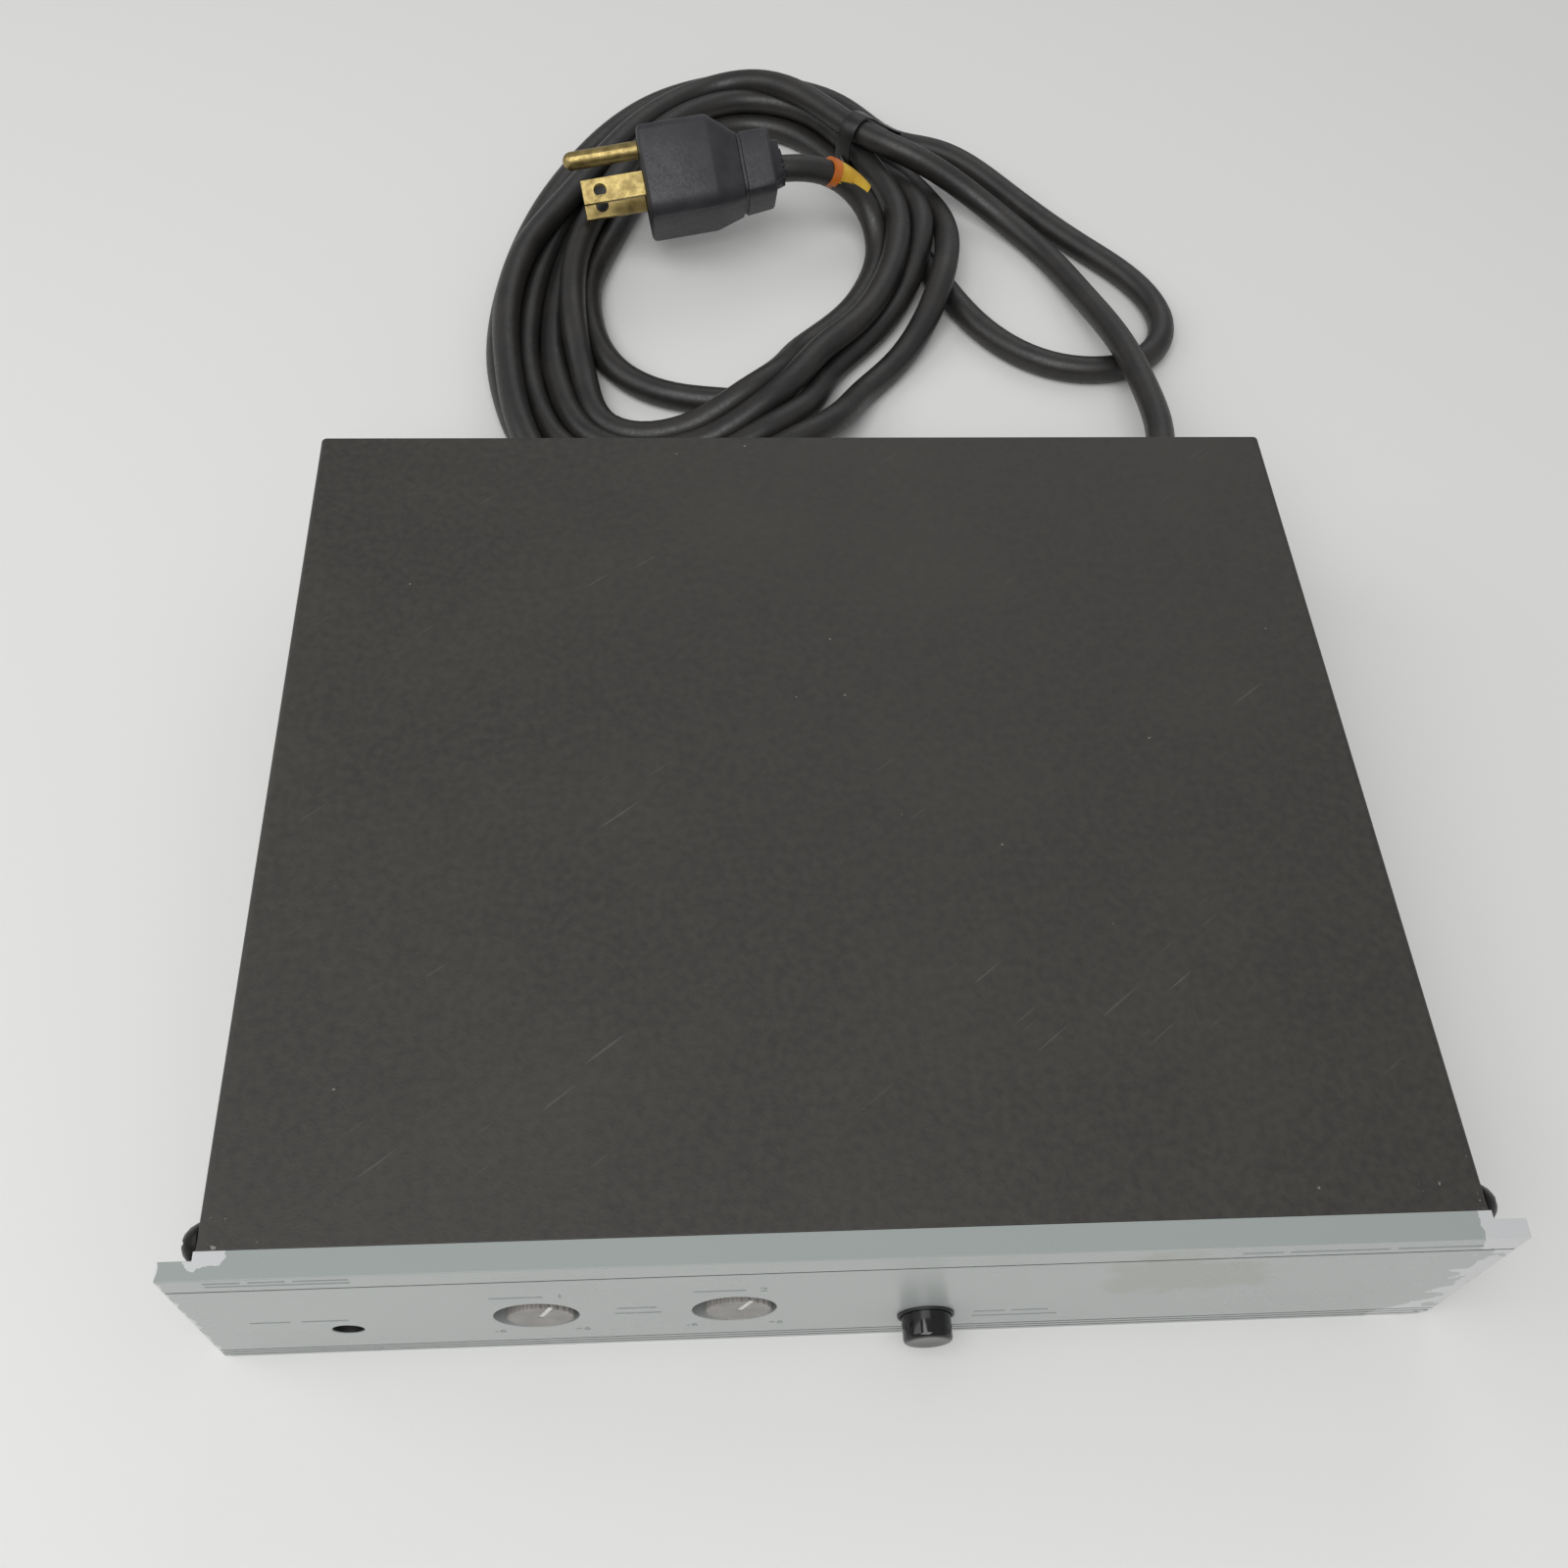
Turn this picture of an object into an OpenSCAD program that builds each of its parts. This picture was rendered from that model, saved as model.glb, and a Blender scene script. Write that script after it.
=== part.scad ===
// Half-rack two-channel audio level interface with a captive mains cord.
// X runs to the right seen from the front, Y to the back, Z up. The origin is under the
// middle of the case, on the surface that it stands on. Millimetres.

/* [Front panel] */
// Width of the front panel, over both ears
panel_w = 215.9; // [213:0.1:222]
// Height of the front panel
panel_h = 44.45; // [44.2:0.05:45]
// Thickness of the panel at the ears
panel_t = 3.2; // [3:0.1:4]
// Extra thickness of the land behind the panel that the case butts against
land_t = 1.5; // [1:0.1:2]
// Height of the upper engraved line above the bottom edge
upper_line_z = 38.2; // [37:0.1:39]
// Height of the top of the ribbed foot band
foot_band_z = 4.2; // [3.6:0.1:5]

/* [Case] */
// Width of the case over the cover
case_w = 205.4; // [204:0.1:206]
// Depth from the face of the front panel to the outside of the rear panel
body_d = 179.8; // [176:0.1:182]
// Thickness of the cover sheet
cover_t = 1.2; // [1:0.1:1.5]
// Thickness of the pan and of the rear panel
pan_t = 1.2; // [1:0.1:1.5]
// Clearance between the cover and what it slides over
slide_gap = 0.1; // [0.1:0.05:0.2]

/* [Controls] */
// Across the trim knobs
knob_d = 11.2; // [10.6:0.1:11.6]
// Across the round holes that the trim knobs sit in
knob_hole_d = 14.3; // [14:0.1:14.6]
// Distance between the two trim knobs
knob_pitch = 33.1; // [32.5:0.1:34]
// Across the push-button cap
button_d = 8.6; // [8.2:0.1:8.8]
// How far the button stands out of the panel
button_proud = 4.9; // [4.4:0.1:5.4]
// Travel of the push-button
button_travel = 3.5; // [2:0.1:3.6]
// Across the lamp hole
lamp_hole_d = 5.4; // [5.2:0.1:5.8]

/* [Rear connectors] */
// Distance between neighbouring XLR sockets
xlr_pitch = 29; // [28:0.5:30]
// Across the barrel of a phono socket
phono_d = 8.3; // [8.2:0.1:8.4]
// How far a phono barrel stands out of the rear panel
phono_proud = 9.1; // [8.9:0.1:9.5]

/* [Mains cord] */
// Diameter of the mains cord
cord_d = 7; // [6.8:0.1:7.1]
// Length of the moulded strain relief outside the rear panel
boot_len = 22; // [20:1:24]

/* [Hidden] */
$fn = 48;
eps = 0.01;
steel = "#b9bbba";
zinc = "#c9cbc8";
brass = "#b3a15a";
black_plastic = "#26272a";
grey_plastic = "#8b8785";
panel_paint = "#9da4a2";
cover_paint = "#4a4946";
board_green = "#2f5a3a";

// The case is centred front to back between the button's face and the phono barrels.
front_y = -(body_d + phono_proud - button_proud) / 2;
rear_y = front_y + body_d;
land_y = front_y + panel_t + land_t;
inner_w = case_w - 2 * cover_t - 2 * slide_gap;
cover_h = panel_h - 0.05;
rear_in_y = rear_y - pan_t;

// Centres of the controls on the face, as [x, z].
lamp_at = [-84, 14.4];
hole_1_at = [-52.2, 18.9];
hole_2_at = hole_1_at + [knob_pitch, 0];
button_at = [14.2, 12];
// The trim controls sit a little to the right of the middle of their holes.
knob_shift = [0.7, 0];
pointer_angle = 21;

// Circuit board.
board_z = pan_t + 3.6;
board_t = 1.6;
board_top = board_z + board_t;
board_x = [-97, 56];
board_y = [front_y + 13, rear_y - 27];
board_hole_in = 5;

// Rear sockets, as x along the rear panel and one height.
socket_z = 22.2;
inputs_x = [-80, -80 + xlr_pitch];
outputs_x = [-80 + 2 * xlr_pitch, -80 + 3 * xlr_pitch];
xlr_barrel_r = 11.8;
xlr_bore_r = 9.6;
xlr_nose_r = 7.9;
xlr_flange = [26, 31, 2];
xlr_screw_at = [9.5, 12];
phono_x = [31, 45, 59, 73];
phono_z = 29.2;
phono_bore_r = 3.3;
latch_size = [6, 9, 1.8];
latch_z = 10.6;
latch_travel = 2;

// Side screws that join the cover to the panel brackets.
side_screw_y = front_y + 7;
side_screw_z = 40;
rear_screw_z = 26;

// Mains cord: it leaves the rear panel through the strain relief, runs to the tie, winds
// round the coil, makes one loop beside it, and ends in the plug that lies on the coil.
cord_r = cord_d / 2;
cord_exit = [91.5, rear_y + boot_len, 16];
lead_route = [
    cord_exit, [93.6, 118, 15.3], [94.2, 128, 13.9], [93.6, 140, 12.4], [91.8, 154, 11.2],
    [88.8, 168, 9], [85.2, 182, 6.2], [80, 198, 4.2], [73, 210, 4], [64, 219.5, 6],
    [53, 226, 11], [43.5, 229, 15.3], [34.5, 231.5, 17.3]
];
side_route = [
    [43, 200, 3.6], [48, 188, 3.6], [54.5, 174, 3.6], [63, 163.2, 3.6], [74, 156.2, 3.6],
    [86, 154.5, 3.6], [96, 156.6, 3.6], [104, 163.5, 3.6], [107.2, 174, 3.6],
    [104.6, 185, 3.6], [98, 195.8, 3.6], [89.5, 205, 3.6], [80.5, 215.5, 3.8],
    [70.5, 228, 4.4], [60.5, 239, 6], [50, 247.5, 6], [39, 252.5, 4]
];
plug_axis = [0.9848, 0.1384, 0.1045];
plug_at = [-33.7, 204, 22];
plug_turn = [35, -6, 8];
plug_len = 38;
plug_end = plug_at + plug_len * plug_axis;
plug_lead_route = [
    [28.2, 191, 3.6], [31, 201, 4.6], [30.6, 209, 8], [26.6, 214.6, 13.4],
    [20, 215.2, 19.6], [12.6, 212, 25], plug_end
];
// Middle line of the wound coil, as [x, y, half of its width].
coil_line = [
    [36, 238, 11], [27, 256, 11], [10, 266, 12], [-9, 268, 12.5], [-29, 259, 13],
    [-45, 240, 14], [-55, 214, 14.5], [-60, 186, 14], [-59, 158, 14.5], [-50, 134, 17],
    [-32, 119, 20], [-9, 121, 18], [14, 140, 16], [30, 164, 14.5], [38, 189, 13.5],
    [40, 214, 12]
];
coil_h = 12.5;
// Strap round the turns beside the lead: its centre, its heading and its outer size.
tie_at = [36, 236];
tie_angle = 51;
tie_size = [31, 22, 5];

// ---- helpers ----

// A box from its lowest corner, as [x0, y0, z0] and its size.
module box(at, size) { translate(at) cube(size); }

// A round bar along +Y from y, centred on [x, z].
module rod_y(at, y, r, len) { translate([at[0], y, at[1]]) rotate([-90, 0, 0]) cylinder(r = r, h = len); }

// A round bar along +X from x, centred on [y, z].
module rod_x(x, at, r, len) { translate([x, at[0], at[1]]) rotate([0, 90, 0]) cylinder(r = r, h = len); }

// A flat outline with round corners, centred on the origin.
module round_rect(w, h, r) { hull() for (x = [-1, 1], y = [-1, 1]) translate([x * (w / 2 - r), y * (h / 2 - r)]) circle(r = r); }

// Points round a ring of n sides of radius r at p, square to the direction d.
function ring(p, d, r, n) =
    let (
        u = d / norm(d),
        a = cross(u, [0, 0, 1]),
        s = a / norm(a),
        t = cross(s, u)
    )
    [for (i = [0 : n - 1]) p + r * (cos(360 * i / n) * s + sin(360 * i / n) * t)];

// A smooth curve through the points of a route, at parameter k + f between points k and k + 1.
function on_route(route, k, f) =
    let (
        last = len(route) - 1,
        b = route[k],
        c = route[min(k + 1, last)],
        a = k == 0 ? 2 * b - c : route[k - 1],
        d = k + 2 > last ? 2 * c - b : route[k + 2]
    )
    0.5 * (2 * b + (c - a) * f + (2 * a - 5 * b + 4 * c - d) * f * f + (3 * b - a - 3 * c + d) * f * f * f);

// A closed tube swept along a route: every point of the route carries one ring.
module tube_along(route, r, n = 10) {
    last = len(route) - 1;
    rings = [for (k = [0 : last])
        let (
            before = k == 0 ? on_route(route, 0, 0) : on_route(route, k - 1, 0.9),
            after = k == last ? on_route(route, last, 0) : on_route(route, k, 0.1)
        )
        each ring(route[k], after - before, r, n)];
    walls = [for (k = [0 : last - 1], i = [0 : n - 1])
        [k * n + i, k * n + (i + 1) % n, (k + 1) * n + (i + 1) % n, (k + 1) * n + i]];
    start_cap = [for (i = [n - 1 : -1 : 0]) i];
    end_cap = [for (i = [0 : n - 1]) last * n + i];
    polyhedron(points = rings, faces = concat([start_cap], walls, [end_cap]), convexity = 4);
}

// A domed screw along +X: its head's flat side is at x = 0 and its shank runs to -X.
module domed_screw(head_r, head_h, shank_r, shank_len) {
    dome_r = (head_r * head_r + head_h * head_h) / (2 * head_h);
    intersection() {
        translate([head_h - dome_r, 0, 0]) sphere(r = dome_r);
        rod_x(0, [0, 0], head_r, head_h);
    }
    rod_x(-shank_len, [0, 0], shank_r, shank_len + eps);
}

// ---- front panel ----

// The bar that carries the controls: ears, land for the case, engraved line and ribbed foot.
module front_panel() {
    line_w = 0.5;
    line_d = 0.3;
    rib_pitch = 1.4;
    corner_r = 3.5;
    color(panel_paint) difference() {
        union() {
            box([-panel_w / 2, front_y, 0], [panel_w, panel_t, panel_h]);
            box([-case_w / 2, front_y + panel_t - eps, 0], [case_w, land_t + eps, panel_h]);
        }
        box([-panel_w / 2 - 1, front_y - 1, upper_line_z], [panel_w + 2, 1 + line_d, line_w]);
        for (z = [foot_band_z : -rib_pitch : 1])
            box([-panel_w / 2 - 1, front_y - 1, z - line_w], [panel_w + 2, 1 + line_d, line_w]);
        // The lower right corner is worn round.
        difference() {
            box([panel_w / 2 - corner_r, front_y - 1, -1], [corner_r + 1, panel_t + 2, corner_r + 1]);
            rod_y([panel_w / 2 - corner_r, corner_r], front_y - 2, corner_r, panel_t + 4);
        }
        rod_y(lamp_at, front_y - 1, lamp_hole_d / 2, 8);
        rod_y(hole_1_at, front_y - 1, knob_hole_d / 2, 8);
        rod_y(hole_2_at, front_y - 1, knob_hole_d / 2, 8);
        rod_y(button_at, front_y - 1, 4.7, 8);
        for (s = [-1, 1]) rod_y([s * 94, 36.7], front_y + 1.2, 1.25, 8);
    }
}

// Angle bracket behind the panel: s is -1 on the left and 1 on the right.
module panel_bracket(s) {
    t = 1.5;
    arm = 13;
    low = 30;
    high = 43;
    wall = inner_w / 2;
    color(zinc) difference() {
        union() {
            translate([s > 0 ? wall - arm : -wall, land_y, low]) cube([arm, t, high - low]);
            translate([s > 0 ? wall - t : -wall, land_y, low]) cube([t, arm, high - low]);
        }
        rod_y([s * 94, 36.7], land_y - 1, 1.6, 4);
        rod_x(s > 0 ? wall - 3 : -wall - 1, [side_screw_y, side_screw_z], 1.7, 4);
    }
}
module panel_bracket_left() { panel_bracket(-1); }
module panel_bracket_right() { panel_bracket(1); }

// Cheese-head screws that hold the brackets to the back of the panel.
module bracket_screws() {
    color(steel) for (s = [-1, 1]) {
        rod_y([s * 94, 36.7], land_y + 1.5, 2.6, 1.8);
        rod_y([s * 94, 36.7], front_y + 1.6, 1.25, land_y - front_y + 0.5);
    }
}

// ---- case ----

// Cross-section of the folded cover: a flat top, two sides and tight bends.
module cover_outline(inset, bend) {
    w = case_w - 2 * inset;
    h = cover_h - inset;
    hull() {
        for (s = [-1, 1]) translate([s * (w / 2 - bend), h - bend]) circle(r = bend);
        translate([-w / 2, -inset]) square([w, 1]);
    }
}

module top_cover() {
    len = rear_y - land_y;
    color(cover_paint) difference() {
        translate([0, rear_y, 0]) rotate([90, 0, 0]) linear_extrude(len) difference() {
            cover_outline(0, 1.4);
            translate([0, -eps]) cover_outline(cover_t, 0.3);
        }
        for (s = [-1, 1]) {
            rod_x(s * case_w / 2 - 3, [side_screw_y, side_screw_z], 1.9, 6);
            rod_x(s * case_w / 2 - 3, [rear_y - 7, rear_screw_z], 1.7, 6);
        }
    }
}

// Folded pan: floor and two low side flanges inside the cover.
module chassis_pan() {
    y0 = land_y + 0.05;
    len = rear_in_y - y0;
    flange_h = 12;
    color(zinc) difference() {
        union() {
            box([-inner_w / 2, y0, 0], [inner_w, len, pan_t]);
            for (s = [0, 1])
                box([s * (inner_w - pan_t) - inner_w / 2, y0, 0], [pan_t, len, flange_h]);
        }
        for (x = [0 : 5]) box([62 + x * 5, -60, -1], [2, 26, 4]);
        for (y = strap_screws_y) translate([77, y, -1]) cylinder(r = 1.6, h = 4);
    }
}

// Rear panel with its two side tabs, the socket holes and the hole for the strain relief.
module rear_panel() {
    tab = [1.2, 11, 20];
    color(cover_paint) difference() {
        union() {
            box([-inner_w / 2, rear_in_y, 0], [inner_w, pan_t, cover_h - cover_t - 0.1]);
            for (s = [0, 1])
                box([s * (inner_w - tab[0]) - inner_w / 2, rear_in_y - tab[1], rear_screw_z - 10],
                    [tab[0], tab[1] + eps, tab[2]]);
        }
        for (x = concat(inputs_x, outputs_x)) {
            rod_y([x, socket_z], rear_in_y - 1, xlr_barrel_r + 0.4, 4);
            for (s = [-1, 1])
                rod_y([x + s * xlr_screw_at[0], socket_z + s * xlr_screw_at[1]], rear_in_y - 1, 1.5, 4);
        }
        for (x = phono_x) rod_y([x, phono_z], rear_in_y - 1, 4.6, 4);
        rod_y([cord_exit[0], cord_exit[2]], rear_in_y - 1, 6, 4);
        for (s = [-1, 1])
            rod_x(s > 0 ? inner_w / 2 - 3 : -inner_w / 2 - 1, [rear_y - 7, rear_screw_z], 1.4, 4);
    }
}

module side_screw(s) {
    color("#1c1b1a") translate([s * case_w / 2, side_screw_y, side_screw_z])
        rotate([0, 0, s > 0 ? 0 : 180]) domed_screw(3.7, 3.1, 1.7, 6);
}
module side_screw_left() { side_screw(-1); }
module side_screw_right() { side_screw(1); }

// Small pan-head screws through the cover into the tabs of the rear panel.
module rear_cover_screws() {
    color("#1c1b1a") for (s = [-1, 1])
        translate([s * case_w / 2, rear_y - 7, rear_screw_z])
            rotate([0, 0, s > 0 ? 0 : 180]) domed_screw(2.9, 1.7, 1.4, 5);
}

// ---- circuit board and its fixings ----

board_holes = [for (x = board_x, y = board_y)
    [x + (x < 0 ? board_hole_in : -board_hole_in), y + (y < 0 ? board_hole_in : -board_hole_in)]];

module circuit_board() {
    color(board_green) difference() {
        box([board_x[0], board_y[0], board_z],
            [board_x[1] - board_x[0], board_y[1] - board_y[0], board_t]);
        for (p = board_holes) translate([p[0], p[1], board_z - 1]) cylinder(r = 1.6, h = 4);
    }
}

module standoffs() {
    color(zinc) for (p = board_holes) translate([p[0], p[1], pan_t]) difference() {
        cylinder(r = 3.2, h = board_z - pan_t, $fn = 6);
        translate([0, 0, 0.6]) cylinder(r = 1.25, h = 4);
    }
}

module board_screws() {
    color(steel) for (p = board_holes) translate([p[0], p[1], board_top]) {
        cylinder(r = 2.6, h = 1.8);
        translate([0, 0, -4]) cylinder(r = 1.25, h = 4 + eps);
    }
}

// ---- trim controls ----

pot_at = [hole_1_at + knob_shift, hole_2_at + knob_shift];
pot_y = front_y + 15.5;
shaft_r = 2;

// Round sealed potentiometer with its bushing and its feet on the board.
module trim_pot(at) {
    r = 8.2;
    depth = 7;
    bush_r = 3.5;
    color("#3a3b3d") difference() {
        union() {
            rod_y(at, pot_y, r, depth);
            rod_y(at, pot_y - 4, bush_r, 4 + eps);
            box([at[0] - 5, pot_y, board_top], [10, depth, at[1] - board_top]);
        }
        rod_y(at, pot_y - 5, shaft_r + 0.05, 9.5);
    }
}
module trim_pot_1() { trim_pot(pot_at[0]); }
module trim_pot_2() { trim_pot(pot_at[1]); }

module pot_shaft(at) { color(steel) rod_y(at, front_y + 2.5, shaft_r, pot_y + 4 - front_y - 2.5); }
module pot_shaft_1() { pot_shaft(pot_at[0]); }
module pot_shaft_2() { pot_shaft(pot_at[1]); }

// Fluted knob with a pointer slot across its face and down its side.
module trim_knob(at) {
    flutes = 24;
    depth = 9;
    face_y = front_y - 0.3;
    color(grey_plastic) translate([at[0], face_y, at[1]]) rotate([-90, 0, 0]) difference() {
        linear_extrude(depth) difference() {
            circle(r = knob_d / 2);
            for (i = [0 : flutes - 1]) rotate(360 * (i + 0.5) / flutes)
                translate([knob_d / 2 + 0.25, 0]) circle(r = 0.55, $fn = 16);
        }
        translate([0, 0, 2.8]) cylinder(r = shaft_r, h = depth);
        rotate(pointer_angle - 90) translate([0, -0.45, -1]) cube([knob_d, 0.9, 1.3]);
    }
}
module trim_knob_1() { trim_knob(pot_at[0]); }
module trim_knob_2() { trim_knob(pot_at[1]); }

// ---- lamp and push switch ----

lamp_tip_y = front_y + 1.2;
module indicator_lamp() {
    r = 2.5;
    color("#7a1a16") {
        rod_y(lamp_at, lamp_tip_y + r, r, 5.5);
        translate([lamp_at[0], lamp_tip_y + r, lamp_at[1]]) sphere(r = r);
        rod_y(lamp_at, lamp_tip_y + r + 5.5 - eps, 2.9, 1);
    }
}

module lamp_holder() {
    y = lamp_tip_y + 9;
    color(black_plastic) box([lamp_at[0] - 3.2, y, board_top], [6.4, 6, lamp_at[1] + 3 - board_top]);
}

// Thin ring pressed into the panel round the push-button.
module button_bezel() {
    color("#2a2a2b") difference() {
        union() {
            rod_y(button_at, front_y - 0.5, 4.95, 0.5);
            rod_y(button_at, front_y - eps, 4.7, panel_t + land_t);
        }
        rod_y(button_at, front_y - 1, button_d / 2 + 0.12, 8);
    }
}

// Round cap with a softened rim and a square socket for the plunger.
module button_cap() {
    rim = 0.6;
    r = button_d / 2;
    depth = button_proud + 5.6;
    color(black_plastic) difference() {
        translate([button_at[0], front_y - button_proud, button_at[1]]) rotate([-90, 0, 0])
            rotate_extrude() {
                translate([0, rim]) square([r, depth - rim]);
                square([r - rim, rim + eps]);
                intersection() {
                    translate([r - rim, rim]) circle(r = rim, $fn = 32);
                    translate([r - rim - eps, 0]) square(rim + eps);
                }
            }
        box([button_at[0] - 1.6, front_y, button_at[1] - 1.6], [3.2, 8, 3.2]);
    }
}

switch_y = front_y + 10;
module switch_plunger() {
    color("#e4e2dc") box([button_at[0] - 1.6, front_y, button_at[1] - 1.6], [3.2, 16, 3.2]);
}

module push_switch() {
    size = [12.6, 18, 11.2];
    color("#cfcdc8") difference() {
        box([button_at[0] - size[0] / 2, switch_y, board_top], [size[0], size[1], size[2] - 0.2]);
        box([button_at[0] - 1.9, switch_y - 1, button_at[1] - 1.9], [3.8, 12.5, 3.8]);
    }
}

// ---- power supply ----

mains_x = 77;
mains_y = 20;
core = [20, 42, 35];
strap_screws_y = [mains_y - 24.4, mains_y + 24.4];
core_leg = 14;
core_window = [7, 21];
core_z = pan_t + 0.8;

module transformer_core() {
    color("#6f6a63") translate([mains_x, mains_y, core_z]) difference() {
        translate([-core[0] / 2, -core[1] / 2, 0]) cube(core);
        for (s = [-1, 1])
            translate([-core[0], s * (core_leg + core_window[0]) / 2 - core_window[0] / 2, 7])
                cube([2 * core[0], core_window[0], core_window[1]]);
    }
}

module transformer_coil() {
    w = 34;
    gap = 0.2;
    color("#c9a53c") translate([mains_x, mains_y, core_z + 7]) difference() {
        translate([-w / 2, -core_leg / 2 - core_window[0] + gap, gap])
            cube([w, core_leg + 2 * core_window[0] - 2 * gap, core_window[1] - 2 * gap]);
        translate([-core[0] / 2 - gap, -core_leg / 2 - gap, -1])
            cube([core[0] + 2 * gap, core_leg + 2 * gap, 30]);
    }
}

// Steel strap under the core, with a screw through each foot.
module transformer_strap() {
    color(zinc) {
        box([mains_x - 10, mains_y - 28, pan_t], [20, 56, 0.8]);
        for (y = strap_screws_y) translate([mains_x, y, 0]) {
            translate([0, 0, pan_t + 0.8 - eps]) cylinder(r = 2.9, h = 2);
            translate([0, 0, 0.1]) cylinder(r = 1.5, h = pan_t + 0.8);
        }
    }
}

module bridge_rectifier() { color(black_plastic) box([38, 4, board_top], [9, 9, 6]); }

module filter_capacitors() {
    color("#23324d") for (x = [26, 44]) translate([x, 40, board_top]) cylinder(r = 8, h = 25);
}

regulators_y = 16;
module voltage_regulators() {
    color(black_plastic) for (x = [2, 18]) {
        box([x - 5, regulators_y, board_top + 5], [10, 4.4, 9]);
        for (i = [-1, 0, 1]) box([x + i * 2.54 - 0.4, regulators_y + 2, board_top], [0.8, 0.5, 5 + eps]);
    }
}

// Finned bar that the regulators are bolted to.
module heat_sink() {
    color("#3d3f42") {
        box([-6, regulators_y + 4.4, board_top], [32, 2, 20]);
        for (i = [0 : 5]) box([-6 + i * 6, regulators_y + 6.4 - eps, board_top], [2, 6, 20]);
    }
}

fuse_at = [20, -14];
module fuse_clips() {
    color(steel) for (x = [-9, 9]) translate([fuse_at[0] + x - 2.5, fuse_at[1] - 3.6, board_top]) difference() {
        cube([5, 7.2, 6]);
        translate([-1, 0.8, 0.8]) cube([7, 5.6, 6]);
    }
}
module mains_fuse() {
    color("#d9dee0") rod_x(fuse_at[0] - 10, [fuse_at[1], board_top + 3.6], 2.6, 20);
}

module op_amps() {
    color(black_plastic) for (x = [-76, -56, -36, -16], y = [-36, 2])
        box([x - 5, y - 3.2, board_top], [10, 6.4, 4]);
}

module signal_capacitors() {
    color("#2b4a7a") for (x = [-86 : 10 : -16], y = [-20, 24])
        translate([x, y, board_top]) cylinder(r = 3.1, h = 11);
}

module resistors() {
    color("#c8b48a") for (x = [-88 : 6 : -4], y = [-54, -10, 12])
        rod_y([x, board_top + 1.3], y - 3.3, 1.2, 6.6);
}

// ---- rear sockets ----

// Flange and barrel shared by both kinds of XLR socket, open right through.
module xlr_shell(x, depth) {
    color("#2b2c2e") difference() {
        union() {
            translate([x, rear_y + xlr_flange[2], socket_z]) rotate([90, 0, 0])
                linear_extrude(xlr_flange[2]) round_rect(xlr_flange[0], xlr_flange[1], 2);
            rod_y([x, socket_z], rear_y - depth, xlr_barrel_r, depth + eps);
        }
        rod_y([x, socket_z], rear_y - depth - 1, xlr_bore_r, depth + 5);
        for (s = [-1, 1])
            rod_y([x + s * xlr_screw_at[0], socket_z + s * xlr_screw_at[1]], rear_y - 0.5, 1.6, 4);
        children();
    }
}

module input_socket(x) {
    xlr_shell(x, 22)
        box([x - latch_size[0] / 2 - 0.3, rear_y - 12, socket_z + latch_z - latch_size[2] / 2 - 0.3],
            [latch_size[0] + 0.6, 18, latch_size[2] + 0.6]);
}
module input_socket_1() { input_socket(inputs_x[0]); }
module input_socket_2() { input_socket(inputs_x[1]); }

// The three contacts of an XLR lie on one circle, with a gap at the top.
contact_r = 5;
contact_angles = [30, 150, 270];

// Insulator of a female socket: a nose with three contact holes on a wider base, so that a
// ring-shaped slot for the plug's shell is left round the nose.
module input_insert(x) {
    color("#1d1d1f") difference() {
        union() {
            rod_y([x, socket_z], rear_y - 20, xlr_bore_r, 7);
            rod_y([x, socket_z], rear_y - 13 - eps, xlr_nose_r, 14.2);
        }
        for (a = contact_angles)
            rod_y([x + contact_r * cos(a), socket_z + contact_r * sin(a)], rear_y - 12, 1.35, 20);
    }
}
module input_insert_1() { input_insert(inputs_x[0]); }
module input_insert_2() { input_insert(inputs_x[1]); }

// Sprung tab above the socket that lets the plug go.
module input_latch(x) {
    color(zinc) box([x - latch_size[0] / 2, rear_y - 4.6, socket_z + latch_z - latch_size[2] / 2], latch_size);
}
module input_latch_1() { input_latch(inputs_x[0]); }
module input_latch_2() { input_latch(inputs_x[1]); }

module output_socket_1() { xlr_shell(outputs_x[0], 22); }
module output_socket_2() { xlr_shell(outputs_x[1], 22); }

output_floor_y = rear_y - 14;
module output_inserts() {
    color("#1d1d1f") for (x = outputs_x) difference() {
        rod_y([x, socket_z], output_floor_y - 6, xlr_bore_r, 6);
        for (a = contact_angles)
            rod_y([x + contact_r * cos(a), socket_z + contact_r * sin(a)], output_floor_y - 7, 1.2, 8);
    }
}

module output_pins() {
    r = 1.2;
    color(brass) for (x = outputs_x, a = contact_angles)
        translate([x + contact_r * cos(a), 0, socket_z + contact_r * sin(a)]) {
            rod_y([0, 0], output_floor_y - 9, r, 20.5);
            translate([0, output_floor_y + 11.5, 0]) sphere(r = r);
        }
}

module socket_screws() {
    color("#1c1b1a") for (x = concat(inputs_x, outputs_x), s = [-1, 1]) {
        at = [x + s * xlr_screw_at[0], socket_z + s * xlr_screw_at[1]];
        rod_y(at, rear_y + xlr_flange[2], 2.4, 1.1);
        rod_y(at, rear_y - 4, 1.4, xlr_flange[2] + 4 + eps);
    }
}

module phono_block() {
    color(black_plastic) difference() {
        box([phono_x[0] - 8, rear_in_y - 14, phono_z - 7], [phono_x[3] - phono_x[0] + 16, 14, 13]);
        for (x = phono_x) rod_y([x, phono_z], rear_in_y - 8, phono_d / 2 - 0.2, 10);
    }
}

// Each barrel is full size outside the rear panel and a little thinner inside its block.
module phono_barrels() {
    color("#c9c3a8") for (x = phono_x) difference() {
        union() {
            rod_y([x, phono_z], rear_y, phono_d / 2, phono_proud);
            rod_y([x, phono_z], rear_in_y - 8, phono_d / 2 - 0.2, 8 + pan_t + eps);
        }
        rod_y([x, phono_z], rear_in_y - 9, phono_bore_r, 40);
    }
}

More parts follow.
